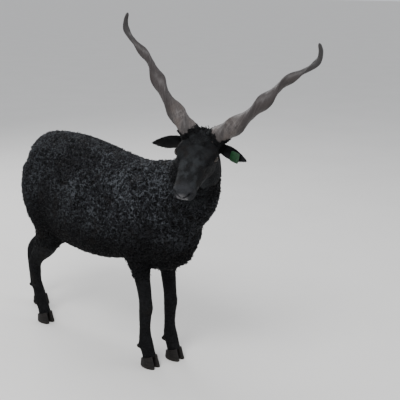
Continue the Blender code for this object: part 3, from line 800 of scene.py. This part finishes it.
def shapeNose():  # each nostril is a bent slit, narrow below and wide above, with a raised rim
    where = places(skin)
    local = inHead(where)
    front = (local[:, 1] > 0.204) & (numpy.abs(local[:, 0]) < 0.036) & (local[:, 2] < 0.0)
    close = numpy.nonzero(front)[0]
    outs = normals(skin)[close]
    path = numpy.array(spline(nose["slit"], 6))
    moves = numpy.zeros((len(close), 3))
    for side in (-1, 1):
        spots = numpy.stack([side * local[close, 0], local[close, 2]], axis=1)
        reach, share = fromPath(spots, path)
        wide = nose["wide"][0] + (nose["wide"][1] - nose["wide"][0]) * share ** 1.5
        deep = nose["deep"][0] + (nose["deep"][1] - nose["deep"][0]) * smoothStep(share, 0.1, 0.7)
        sink = deep * numpy.exp(-(reach / wide) ** 4)
        rim = nose["rim"] * (0.5 + 0.5 * share) * numpy.exp(-((reach - 1.9 * wide) / 0.0014) ** 2)
        inward = numpy.array(towardHead(-side * 0.35, -1.0, -0.10))
        moves += sink[:, None] * inward + rim[:, None] * outs
    where[close] += moves
    setPlaces(skin, where)


shapeNose()

lids = {"half": 0.0110, "upper": 0.0058, "lower": 0.0050, "thick": 0.0015, "fold": 0.0011}


def eyeAxes(side):  # centre, gaze, toward the nose, up
    centre = onHead(side * eyes["place"][0], *eyes["place"][1:])
    gaze = towardHead(side * eyes["gaze"][0], *eyes["gaze"][1:])
    slit = towardHead(side * eyes["slit"][0], *eyes["slit"][1:])
    slit = (slit - gaze * slit.dot(gaze)).normalized()
    return centre, gaze, slit, slit.cross(gaze) * side


def shapeEyes():  # lids lie on the ball around an almond opening, and the skin sinks under it
    where = places(skin)
    ball = eyes["radius"]
    for side in (-1, 1):
        centre, gaze, slit, upper = (numpy.array(axis) for axis in eyeAxes(side))
        reach = where - centre
        far = numpy.linalg.norm(reach, axis=1)
        ways = reach / far[:, None]
        close = numpy.nonzero((far < 0.030) & (ways @ gaze > 0.10))[0]
        angle = numpy.arccos(numpy.clip(ways[close] @ gaze, -1, 1))
        arc = ball * angle
        spread = arc / numpy.maximum(numpy.sin(angle), 1e-6)
        across = spread * (ways[close] @ slit)
        tall = spread * (ways[close] @ upper)
        gap = numpy.clip(1 - (across / lids["half"]) ** 2, 0, 1) ** 0.75
        limit = numpy.where(tall > 0, lids["upper"], lids["lower"]) * gap
        past = numpy.maximum(numpy.abs(across) - lids["half"], 0)
        off = numpy.abs(tall) - limit
        off = numpy.where((off > 0) | (past > 0), numpy.hypot(past, numpy.maximum(off, 0)), off)
        shell = ball + 0.0002 + (lids["thick"] - 0.0002) * smoothStep(off, 0.0, 0.0010)
        fold = numpy.exp(-((off - 0.0040) / 0.0008) ** 2)
        shell -= lids["fold"] * fold * numpy.where(tall > 0, 1.0, 0.6)
        shell -= 0.0022 * smoothStep(-off, 0.0, 0.0007)
        share = smoothStep(arc, 0.0098, 0.0160)
        radius = shell * (1 - share) + far[close] * share
        where[close] = centre + ways[close] * radius[:, None]
    setPlaces(skin, where)


shapeEyes()
smoothAs(skin, skinFinish)


def unwrapSkin():
    skin.data.uv_layers.new(name="OFBake")
    editAll(skin)
    bpy.ops.uv.smart_project(angle_limit=math.radians(66), island_margin=0.002)
    leaveEdit()


unwrapSkin()
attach(skin, "root")
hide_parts(*fleshNodes)
print("skin shaped and unwrapped")


# Coat: solid locks rooted in the skin

lockShape = {
    "rings": (0.0, 0.36, 0.74),
    "width": (0.60, 1.0, 0.72),
    "flatRings": (0.0, 0.45),
    "flatWidth": (0.6, 1.0),
    "sides": 3,
    "uvPatch": 0.003,
    "eyeClear": 0.0165,
    "noseClear": 0.020,
    "pieceLimit": 190000,
}
# In a curl the locks keep to the lie, lean to the middle, turn about it and are tallest there
curls = {"keep": 0.35, "lean": 1.5, "turn": 0.5, "tall": 1.12, "fall": 0.42}

# Region: spacing of the locks, length, width, lift off the skin, bend back, curl, stray heading
coats = {
    "torso": {"gap": 0.0041, "length": 0.0158, "width": 0.0047, "lift": 62, "bend": 90,
              "curl": 2.3, "stray": 0.45, "curlSize": 0.0150},
    "neck": {"gap": 0.0040, "length": 0.0142, "width": 0.0045, "lift": 60, "bend": 90,
             "curl": 2.3, "stray": 0.45, "curlSize": 0.0140},
    "leg": {"gap": 0.0025, "length": 0.0068, "width": 0.0017, "lift": 22, "bend": 20,
            "curl": 0.3, "stray": 0.22},
    "tail": {"gap": 0.0034, "length": 0.0130, "width": 0.0034, "lift": 30, "bend": 28,
             "curl": 0.9, "stray": 0.4},
    "face": {"gap": 0.0020, "length": 0.0050, "width": 0.0012, "lift": 17, "bend": 16,
             "curl": 0.3, "stray": 0.16},
    "poll": {"gap": 0.0023, "length": 0.0080, "width": 0.0029, "lift": 46, "bend": 115,
             "curl": 1.8, "stray": 0.5, "curlSize": 0.0110},
    "ear": {"gap": 0.0020, "length": 0.0050, "width": 0.0012, "lift": 15, "bend": 12,
            "curl": 0.2, "stray": 0.2},
}


def skinFaces():
    mesh = skin.data
    mesh.calc_loop_triangles()
    corners = readOut(mesh.loop_triangles, "vertices", 3, numpy.int64)
    loops = readOut(mesh.loop_triangles, "loops", 3, numpy.int64)
    uvs = readOut(mesh.uv_layers["OFBake"].data, "uv", 2)
    return places(skin)[corners], uvs[loops], normals(skin)[corners]


faceCorners, faceUvs, faceNormals = skinFaces()
faceCentres = faceCorners.mean(axis=1)
faceAreas = 0.5 * numpy.linalg.norm(numpy.cross(
    faceCorners[:, 1] - faceCorners[:, 0], faceCorners[:, 2] - faceCorners[:, 0]), axis=1)


borders = {
    "legTop": 0.315,
    "neckLow": 0.47,
    "neckBack": -0.23,  # how far back the neck reaches at neckHeight, and further above it
    "neckHeight": 0.6,
    "neckSlope": 0.55,
    "tailFront": 0.478,
    "tailHeights": (0.39, 0.625),
    "tailHalf": 0.030,
    "capHalf": 0.040,
    "capFront": 0.074,
    "capSlope": 0.45,
    "earFoot": 0.056,
    "earRoom": 0.002,
}


def regionOf(where):
    local = inHead(where)
    aside = numpy.abs(local[:, 0])
    out = numpy.full(len(where), "torso", dtype=object)
    neckBack = borders["neckBack"] + borders["neckSlope"] * (where[:, 2] - borders["neckHeight"])
    out[(where[:, 1] < neckBack) & (where[:, 2] > borders["neckLow"])] = "neck"
    out[where[:, 2] < borders["legTop"]] = "leg"
    low, high = borders["tailHeights"]
    tail = (where[:, 1] > borders["tailFront"]) & (where[:, 2] > low) & (where[:, 2] < high)
    out[tail & (numpy.abs(where[:, 0] - stance.x) < borders["tailHalf"])] = "tail"
    face = headShare(where) > 0.5
    out[face] = "face"
    cap = borders["capFront"] - borders["capSlope"] * aside + 0.004 * numpy.sin(local[:, 0] * 420)
    out[face & (aside < borders["capHalf"]) & (local[:, 1] < cap) & (local[:, 2] > -0.03)] = "poll"
    for node in ("ear_left", "ear_right"):
        low, high = (numpy.array(corner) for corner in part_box(node))
        room = borders["earRoom"]
        inside = numpy.all((where > low - room) & (where < high + room), axis=1)
        out[inside & (aside > borders["earFoot"])] = "ear"
    return out


faceRegions = regionOf(faceCentres)
eyeCentres = [eyeAxes(side)[0] for side in (-1, 1)]
nosePoint = onHead(0.0, 0.236, -0.032)


def lieOf(region, where):  # the way the wool lies
    down = numpy.array((0.0, 0.55, -1.0))
    lie = numpy.tile(down, (len(where), 1))
    if region in ("leg", "tail"):
        lie[:] = (0.0, 0.10, -1.0)
    if region in ("face", "poll"):
        lie[:] = towardHead(0, 1.0, -0.15)
        local = inHead(where)
        cheek = smoothStep(-local[:, 2], 0.03, 0.08)[:, None]
        lie = lie * (1 - cheek) + numpy.array(towardHead(0, -0.5, -1.0)) * cheek
    if region == "fringe":
        local = inHead(where)
        for side in (-1, 1):
            lie[local[:, 0] * side > 0] = hornAxes(side)[0]
    if region == "ear":
        local = inHead(where)
        for side in (-1, 1):
            lie[local[:, 0] * side > 0] = towardHead(side * 0.92, 0.34, -0.2)
    return lie


def rootPlaces(region, draw):
    chosen = numpy.nonzero(faceRegions == region)[0]
    areas = faceAreas[chosen]
    whole = areas.sum()
    count = int(whole / coats[region]["gap"] ** 2)
    marks = (numpy.arange(count) + draw.random_sample(count)) * whole / count
    faces = chosen[numpy.searchsorted(numpy.cumsum(areas), marks).clip(0, len(chosen) - 1)]
    first, second = draw.random_sample(count), draw.random_sample(count)
    flip = first + second > 1
    first[flip], second[flip] = 1 - first[flip], 1 - second[flip]
    weights = numpy.stack([1 - first - second, first, second], axis=1)[:, :, None]
    roots = (faceCorners[faces] * weights).sum(axis=1)
    uvs = (faceUvs[faces] * weights).sum(axis=1)
    outs = (faceNormals[faces] * weights).sum(axis=1)
    outs /= numpy.linalg.norm(outs, axis=1)[:, None]
    clear = numpy.ones(count, dtype=bool)
    for centre in eyeCentres:
        clear &= farFrom(roots, centre) > lockShape["eyeClear"]
    if region == "face":
        clear &= farFrom(roots, nosePoint) > lockShape["noseClear"]
    return roots[clear], uvs[clear], outs[clear]


def gatherCurls(roots, size, area, draw):  # middle of the curl that each root belongs to
    picked = draw.permutation(len(roots))[:max(4, int(area / size ** 2))]
    middles = roots[picked].copy()
    for _ in range(2):
        tree = treeOf(middles)
        owner = numpy.array([tree.find(root)[1] for root in roots])
        share = numpy.maximum(numpy.bincount(owner, minlength=len(middles)), 1)
        sums = [numpy.bincount(owner, roots[:, k], len(middles)) for k in range(3)]
        middles = numpy.stack(sums, axis=1) / share[:, None]
    return owner, middles


def lockRings(region):
    if region in ("leg", "face", "ear"):
        return lockShape["flatRings"], lockShape["flatWidth"]
    return lockShape["rings"], lockShape["width"]


def bendLocks(region, roots, outs, draw):  # centre line, forward ways and widths of every lock
    coat = coats[region]
    count = len(roots)
    lie = lieOf(region, roots)
    lie = unit(lie - outs * (lie * outs).sum(axis=1)[:, None])
    cross = numpy.cross(outs, lie)
    # neighbours share a heading, so that the wool gathers in curls
    wave = (numpy.sin(roots[:, 0] * 260 + 1.3 * numpy.sin(roots[:, 2] * 190))
            + numpy.sin(roots[:, 1] * 230 + 1.7 * numpy.sin(roots[:, 2] * 150 + 1.0))
            + numpy.sin(roots[:, 2] * 250 + 1.1 * numpy.sin(roots[:, 1] * 170)))
    heading = coat["stray"] * (0.75 * wave + draw.normal(size=count) * 0.55)
    curl = coat["curl"] * draw.choice([-1, 1], size=count) * draw.uniform(0.5, 1.2, size=count)
    lift = numpy.radians(coat["lift"]) * draw.uniform(0.7, 1.2, size=count)
    tall = numpy.ones(count)
    if "curlSize" in coat:
        owner, middles = gatherCurls(roots, coat["curlSize"], count * coat["gap"] ** 2, draw)
        inward = middles[owner] - roots
        far = numpy.clip(numpy.linalg.norm(inward, axis=1) / (0.6 * coat["curlSize"]), 0, 1)
        spin = draw.choice([-1.0, 1.0], size=len(middles))[owner]
        ahead = curls["keep"] + curls["lean"] * far * (unit(inward) * lie).sum(axis=1)
        aside = curls["lean"] * far * (unit(inward) * cross).sum(axis=1)
        heading = heading + numpy.arctan2(aside, ahead) + spin * curls["turn"] * far
        curl = numpy.abs(curl) * spin
        tall = curls["tall"] - curls["fall"] * far ** 2
        tall = tall * draw.uniform(0.82, 1.18, size=len(middles))[owner]
    bend = numpy.radians(coat["bend"]) * draw.uniform(0.8, 1.25, size=count)
    length = coat["length"] * draw.uniform(0.82, 1.18, size=count) * tall
    width = coat["width"] * draw.uniform(0.8, 1.25, size=count)
    stops = lockRings(region)[0] + (1.0,)
    rings = [roots - outs * (0.12 * length)[:, None]]
    ways = []
    for last, stop in zip(stops[:-1], stops[1:]):
        middle = (stop + last) / 2
        rise = lift - bend * middle
        turn = heading + curl * middle
        flat = lie * numpy.cos(turn)[:, None] + cross * numpy.sin(turn)[:, None]
        ways.append(flat * numpy.cos(rise)[:, None] + outs * numpy.sin(rise)[:, None])
        rings.append(rings[-1] + ways[-1] * (length * (stop - last))[:, None])
    return rings, ways, width


def lockFaces(levels, sides):  # triangles of one closed lock: walls, tip and root
    faces = []
    for i in range(levels - 1):
        for k in range(sides):
            a, b = i * sides + k, i * sides + (k + 1) % sides
            faces += [(a, b, b + sides), (a, b + sides, a + sides)]
    top = (levels - 1) * sides
    for k in range(sides):
        faces.append((top + k, top + (k + 1) % sides, top + sides))
    faces.append(tuple(range(sides - 1, -1, -1)))
    return numpy.array(faces)


def growLocks(name, region, roots, uvs, outs, draw):
    rings, ways, width = bendLocks(region, roots, outs, draw)
    wides = lockRings(region)[1]
    sides = lockShape["sides"]
    levels = len(wides)
    count = len(roots)
    per = levels * sides + 1
    points = numpy.empty((count, per, 3))
    for i in range(levels):
        side = unit(numpy.cross(ways[i], outs) + 1e-6)
        up = numpy.cross(side, ways[i])
        half = width * wides[i] / 2
        for k in range(sides):
            angle = 2 * math.pi * k / sides + math.pi / 2
            points[:, i * sides + k] = (rings[i] + side * (math.cos(angle) * half)[:, None]
                                        + up * (math.sin(angle) * half * 0.62)[:, None])
    points[:, -1] = rings[-1]
    faces = lockFaces(levels, sides)
    every = (faces[None] + (numpy.arange(count) * per)[:, None, None]).reshape(-1, 3)
    mesh = bpy.data.meshes.new(name)
    mesh.vertices.add(count * per)
    mesh.vertices.foreach_set("co", points.ravel())
    mesh.loops.add(every.size)
    mesh.loops.foreach_set("vertex_index", every.ravel().astype(numpy.int32))
    mesh.polygons.add(len(every))
    mesh.polygons.foreach_set("loop_start", numpy.arange(0, every.size, 3, dtype=numpy.int32))
    mesh.polygons.foreach_set("use_smooth", numpy.ones(len(every), dtype=bool))
    mesh.update(calc_edges=True)
    spread = numpy.array([(0.5 + 0.5 * math.cos(2 * math.pi * (v % sides) / sides),
                           (v // sides) / levels) for v in range(per)]) * lockShape["uvPatch"]
    layer = mesh.uv_layers.new(name="OFBake")
    patch = (uvs[:, None, :] * (1 - lockShape["uvPatch"]) + spread[None]).reshape(-1, 2)
    layer.data.foreach_set("uv", patch[every.ravel()].ravel())
    mesh.validate()
    piece = bpy.data.objects.new(name, mesh)
    link(piece)
    piece.data.materials.append(coatFinish)
    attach(piece, "root")


def growCoat():
    whole = 0
    for seed, region in enumerate(coats):
        draw = numpy.random.RandomState(100 + seed)
        roots, uvs, outs = rootPlaces(region, draw)
        order = numpy.argsort(roots[:, 1])
        triangles = len(roots) * (6 * len(lockRings(region)[0]) - 2)
        parts = max(1, math.ceil(triangles / lockShape["pieceLimit"]))
        for number, chosen in enumerate(numpy.array_split(order, parts)):
            name = f"coat_{region}_{number + 1}"
            growLocks(name, region, roots[chosen], uvs[chosen], outs[chosen], draw)
        whole += triangles
        print("coat", region, len(roots), "locks in", parts, "pieces")
    print("coat triangles", whole)


growCoat()


# Horns: a flat section that turns along a bent middle line, with growth ridges

horns = {
    "seat": (0.0490, 0.0095, -0.0030),
    "splay": math.radians(42.6),
    "lean": math.radians(51.8),
    "length": 0.370,
    "turns": (-0.52, 3.50, 0.55),  # half turns at the seat, over the length, tightening at the tip
    "power": 1.55,
    "sides": 56,
    "rings": 300,
    "ridge": 0.00050,
    "ridgeGap": 0.0068,
    "rib": 0.00032,
    "rows": [  # share of the length, shift out and over, half width, half thickness
        (-0.080, 0.000, 0.000, 0.0320, 0.0275),
        (0.000, 0.000, 0.000, 0.0325, 0.0270),
        (0.080, 0.004, -0.005, 0.0302, 0.0232),
        (0.157, 0.006, -0.008, 0.0268, 0.0192),
        (0.300, 0.006, 0.002, 0.0232, 0.0152),
        (0.449, 0.001, 0.000, 0.0218, 0.0130),
        (0.613, -0.006, -0.001, 0.0170, 0.0098),
        (0.744, -0.001, 0.002, 0.0125, 0.0076),
        (0.856, 0.006, -0.001, 0.0104, 0.0076),
        (0.930, 0.003, 0.004, 0.0094, 0.0076),
        (0.974, -0.010, 0.014, 0.0080, 0.0068),
        (0.995, -0.024, 0.025, 0.0056, 0.0050),
        (1.000, -0.029, 0.030, 0.0022, 0.0020),
    ],
}


def hornAxes(side):
    lean = towardHead(0, -math.sin(horns["lean"]), math.cos(horns["lean"]))
    out = towardHead(side, 0, 0)
    axis = (out * math.sin(horns["splay"]) + lean * math.cos(horns["splay"])).normalized()
    across = (out * math.cos(horns["splay"]) - lean * math.sin(horns["splay"])).normalized()
    return axis, across, axis.cross(across) * -side


def hornSeat(side):
    return onHead(side * horns["seat"][0], *horns["seat"][1:])


def hornLine(side):  # at each ring: share of the length, middle, flat and deep ways, half sizes
    axis, across, over = hornAxes(side)
    table = numpy.array(spline(horns["rows"], 40))
    marks = numpy.linspace(0, len(table) - 1, horns["rings"] + 1)
    spots = numpy.arange(len(table))
    share, out, lift, wide, thick = (numpy.interp(marks, spots, column) for column in table.T)
    points = (numpy.array(hornSeat(side)) + numpy.outer(share * horns["length"], axis)
              + numpy.outer(out, across) + numpy.outer(lift, over))
    ahead = unit(numpy.gradient(points, axis=0))
    seatTurn, whole, tighten = horns["turns"]
    turn = math.pi * (seatTurn + whole * share + tighten * share ** 6)
    flat = numpy.outer(numpy.cos(turn), across) + numpy.outer(numpy.sin(turn), over)
    flat = unit(flat - ahead * (flat * ahead).sum(axis=1)[:, None])
    return share, points, flat, numpy.cross(ahead, flat), wide, thick


def hornSection(angle):  # a soft-cornered diamond of half sizes 1
    ways = numpy.cos(angle), numpy.sin(angle)
    return [numpy.sign(way) * numpy.abs(way) ** (2 / horns["power"]) for way in ways]


def makeHornPiece(hand, side):
    deselectAll()
    bpy.ops.mesh.primitive_grid_add(
        x_subdivisions=horns["sides"], y_subdivisions=horns["rings"], size=1)
    piece = bpy.context.object
    piece.name = f"hornSheath_{hand}"
    share, points, flat, deep, wide, thick = hornLine(side)
    grid = places(piece)
    angle = 2 * math.pi * (grid[:, 0] + 0.5)
    ring = numpy.rint((grid[:, 1] + 0.5) * horns["rings"]).astype(int)
    u, v = hornSection(angle)
    reach = share * horns["length"]
    growth = reach[ring] / horns["ridgeGap"]
    growth = growth + 0.35 * numpy.sin(angle) + 0.8 * numpy.sin(reach[ring] * 71)
    swell = numpy.abs(numpy.sin(math.pi * growth)) ** 0.7 - 0.55
    fade = 1 - smoothStep(share[ring], 0.55, 1.0)
    swell *= horns["ridge"] * fade * (0.75 + 0.5 * numpy.sin(reach[ring] * 143 + 2))
    ribs = numpy.cos(angle * 9 + 2 * numpy.sin(reach[ring] * 40)) + 0.6 * numpy.cos(angle * 17 + 1)
    grown = swell + horns["rib"] * ribs * (1 - 0.7 * share[ring])
    where = (points[ring] + flat[ring] * ((wide[ring] + grown) * u)[:, None]
             + deep[ring] * ((thick[ring] + grown) * v)[:, None])
    setPlaces(piece, where)
    editAll(piece)
    bpy.ops.mesh.remove_doubles(threshold=0.00002)
    bpy.ops.mesh.fill_holes(sides=0)
    bpy.ops.mesh.normals_make_consistent(inside=False)
    leaveEdit()
    soften(piece, 0.25, 1)
    smoothAs(piece, makeHorn(f"hornFinish_{hand}", hornSeat(side), hornAxes(side)))
    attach(piece, "root")
    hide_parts(f"horn_{hand}")
    print("horn", hand, len(piece.data.polygons))


makeHornPiece("left", 1)
makeHornPiece("right", -1)

coats["fringe"] = {"gap": 0.0022, "length": 0.0092, "width": 0.0029, "lift": 52, "bend": 66,
                   "curl": 1.7, "stray": 0.4}
fringe = {"tries": 6400, "reach": (-0.0320, 0.050), "low": 0.0095, "high": 0.0165,
          "clear": 0.0004, "under": -0.0045}


def growFringe(name, side, seed):  # wool that creeps up the foot of a horn, highest toward the poll
    draw = numpy.random.RandomState(seed)
    tree = treeOf(faceCentres)
    share, points, flat, deep, wide, thick = hornLine(side)
    reach = draw.uniform(*fringe["reach"], size=fringe["tries"])
    ring = numpy.abs(share[None] * horns["length"] - reach[:, None]).argmin(axis=1)
    angle = draw.uniform(0, 2 * math.pi, size=fringe["tries"])
    u, v = hornSection(angle[:, None])
    outs = unit(flat[ring] * numpy.cos(angle)[:, None] + deep[ring] * numpy.sin(angle)[:, None])
    roots = points[ring] + flat[ring] * u * wide[ring, None] + deep[ring] * v * thick[ring, None]
    roots += outs * fringe["clear"]
    inward = numpy.array(towardHead(-side, 0.55, 0.35))
    limit = fringe["low"] + (fringe["high"] - fringe["low"]) * numpy.clip(outs @ inward, 0, 1) ** 1.5
    found = [tree.find(root) for root in roots]
    nearest = numpy.array([hit[1] for hit in found])
    height = ((roots - faceCentres[nearest]) * faceNormals[nearest].mean(axis=1)).sum(axis=1)
    far = numpy.array([hit[2] for hit in found])
    keep = (height > fringe["under"]) & (far < limit * draw.uniform(0.5, 1.1, size=len(roots)))
    uvs = faceUvs[nearest].mean(axis=1)
    growLocks(name, "fringe", roots[keep], uvs[keep], outs[keep], draw)
    print(name, int(keep.sum()), "locks")


growFringe("coat_fringe_left", 1, 150)
growFringe("coat_fringe_right", -1, 151)


# Hooves: each claw rounded from its solid, dewclaws as small horny cones

hooves = {
    "voxel": 0.0011,
    "smooth": 5,
    "sole": 0.0012,  # all below this height is pressed flat
    "dewclaw": (0.0058, 0.0066, 0.0086),
    "behind": {"fore": (0.0281, 0.0655), "hind": (0.0336, 0.0715)},
    "apart": 0.0122,
    "tilt": (-24, 12),
}


def makeHooves():
    for foot in feet:
        for claw in ("left", "right"):
            node = f"hoof_{foot}_{claw}_claw"
            piece = copyNodes(node + "_wall", [node])
            rebuild(piece, hooves["voxel"], hooves["smooth"])
            where = places(piece)
            where[where[:, 2] < hooves["sole"], 2] = 0.0
            setPlaces(piece, where)
            smoothAs(piece, hoofFinish)
            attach(piece, "root")
            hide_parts(node)
    print("hooves")


def makeDewclaws():
    for foot, (out, back) in feet.items():
        behind, height = hooves["behind"][foot[:4]]
        for turn in (-1, 1):
            deselectAll()
            bpy.ops.mesh.primitive_uv_sphere_add(segments=28, ring_count=18, radius=1)
            piece = bpy.context.object
            piece.name = f"dewclaw_{foot}_{'left' if turn > 0 else 'right'}"
            piece.data.transform(Matrix.Diagonal((*hooves["dewclaw"], 1.0)))
            change = piece.modifiers.new("point", "SIMPLE_DEFORM")
            change.deform_method = "TAPER"
            change.deform_axis = "Z"
            change.factor = 0.7
            applyAll(piece)
            down, aside = (math.radians(angle) for angle in hooves["tilt"])
            tilt = Matrix.Rotation(down, 4, "X") @ Matrix.Rotation(turn * aside, 4, "Y")
            place = stance + Vector((out + turn * hooves["apart"], back + behind, height))
            piece.data.transform(Matrix.Translation(place) @ tilt)
            smoothAs(piece, hoofFinish)
            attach(piece, "root")


makeHooves()
makeDewclaws()


# Eyes: a wet ball with a dark brown iris and a level pupil

def makeEyePiece(hand, side):
    deselectAll()
    bpy.ops.mesh.primitive_uv_sphere_add(segments=48, ring_count=32, radius=eyes["radius"])
    piece = bpy.context.object
    piece.name = f"eyeBall_{hand}"
    centre, gaze, slit, upper = eyeAxes(side)
    turn = Vector((0, 0, 1)).rotation_difference(gaze).to_matrix().to_4x4()
    piece.data.transform(Matrix.Translation(centre) @ turn)
    soften(piece, 0.2, 1)
    smoothAs(piece, makeEye(f"eyeFinish_{hand}", centre, slit, upper))
    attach(piece, "root")
    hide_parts(f"eye_{hand}")


makeEyePiece("left", 1)
makeEyePiece("right", -1)


# Ear tag: blank green plastic with softened edges

tag = {"edge": 0.00035, "sharp": math.radians(40)}


def makeTagPiece():
    piece = copyNodes("tagPiece", ["ear_tag"])
    change = piece.modifiers.new("edge", "BEVEL")
    change.width = tag["edge"]
    change.segments = 2
    change.limit_method = "ANGLE"
    change.angle_limit = tag["sharp"]
    applyAll(piece)
    bpy.ops.object.shade_smooth_by_angle(angle=tag["sharp"])
    piece.data.materials.append(makeTag())
    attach(piece, "root")
    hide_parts("ear_tag")


makeTagPiece()
print("horns, hooves, eyes and tag")


# Floor

def addFloor():
    deselectAll()
    bpy.ops.mesh.primitive_plane_add(size=90, location=(0, 0, 0))
    floor = bpy.context.object
    floor.name = "floor"
    finish = Finish("paleFloor", {"Roughness": 0.9})
    grain = finish.noise(0.4, 3.0)
    floor.data.materials.append(finish.finish(
        Base_Color=finish.mix(grain, tone(0.70, 0.69, 0.67), tone(0.76, 0.75, 0.73))))


addFloor()
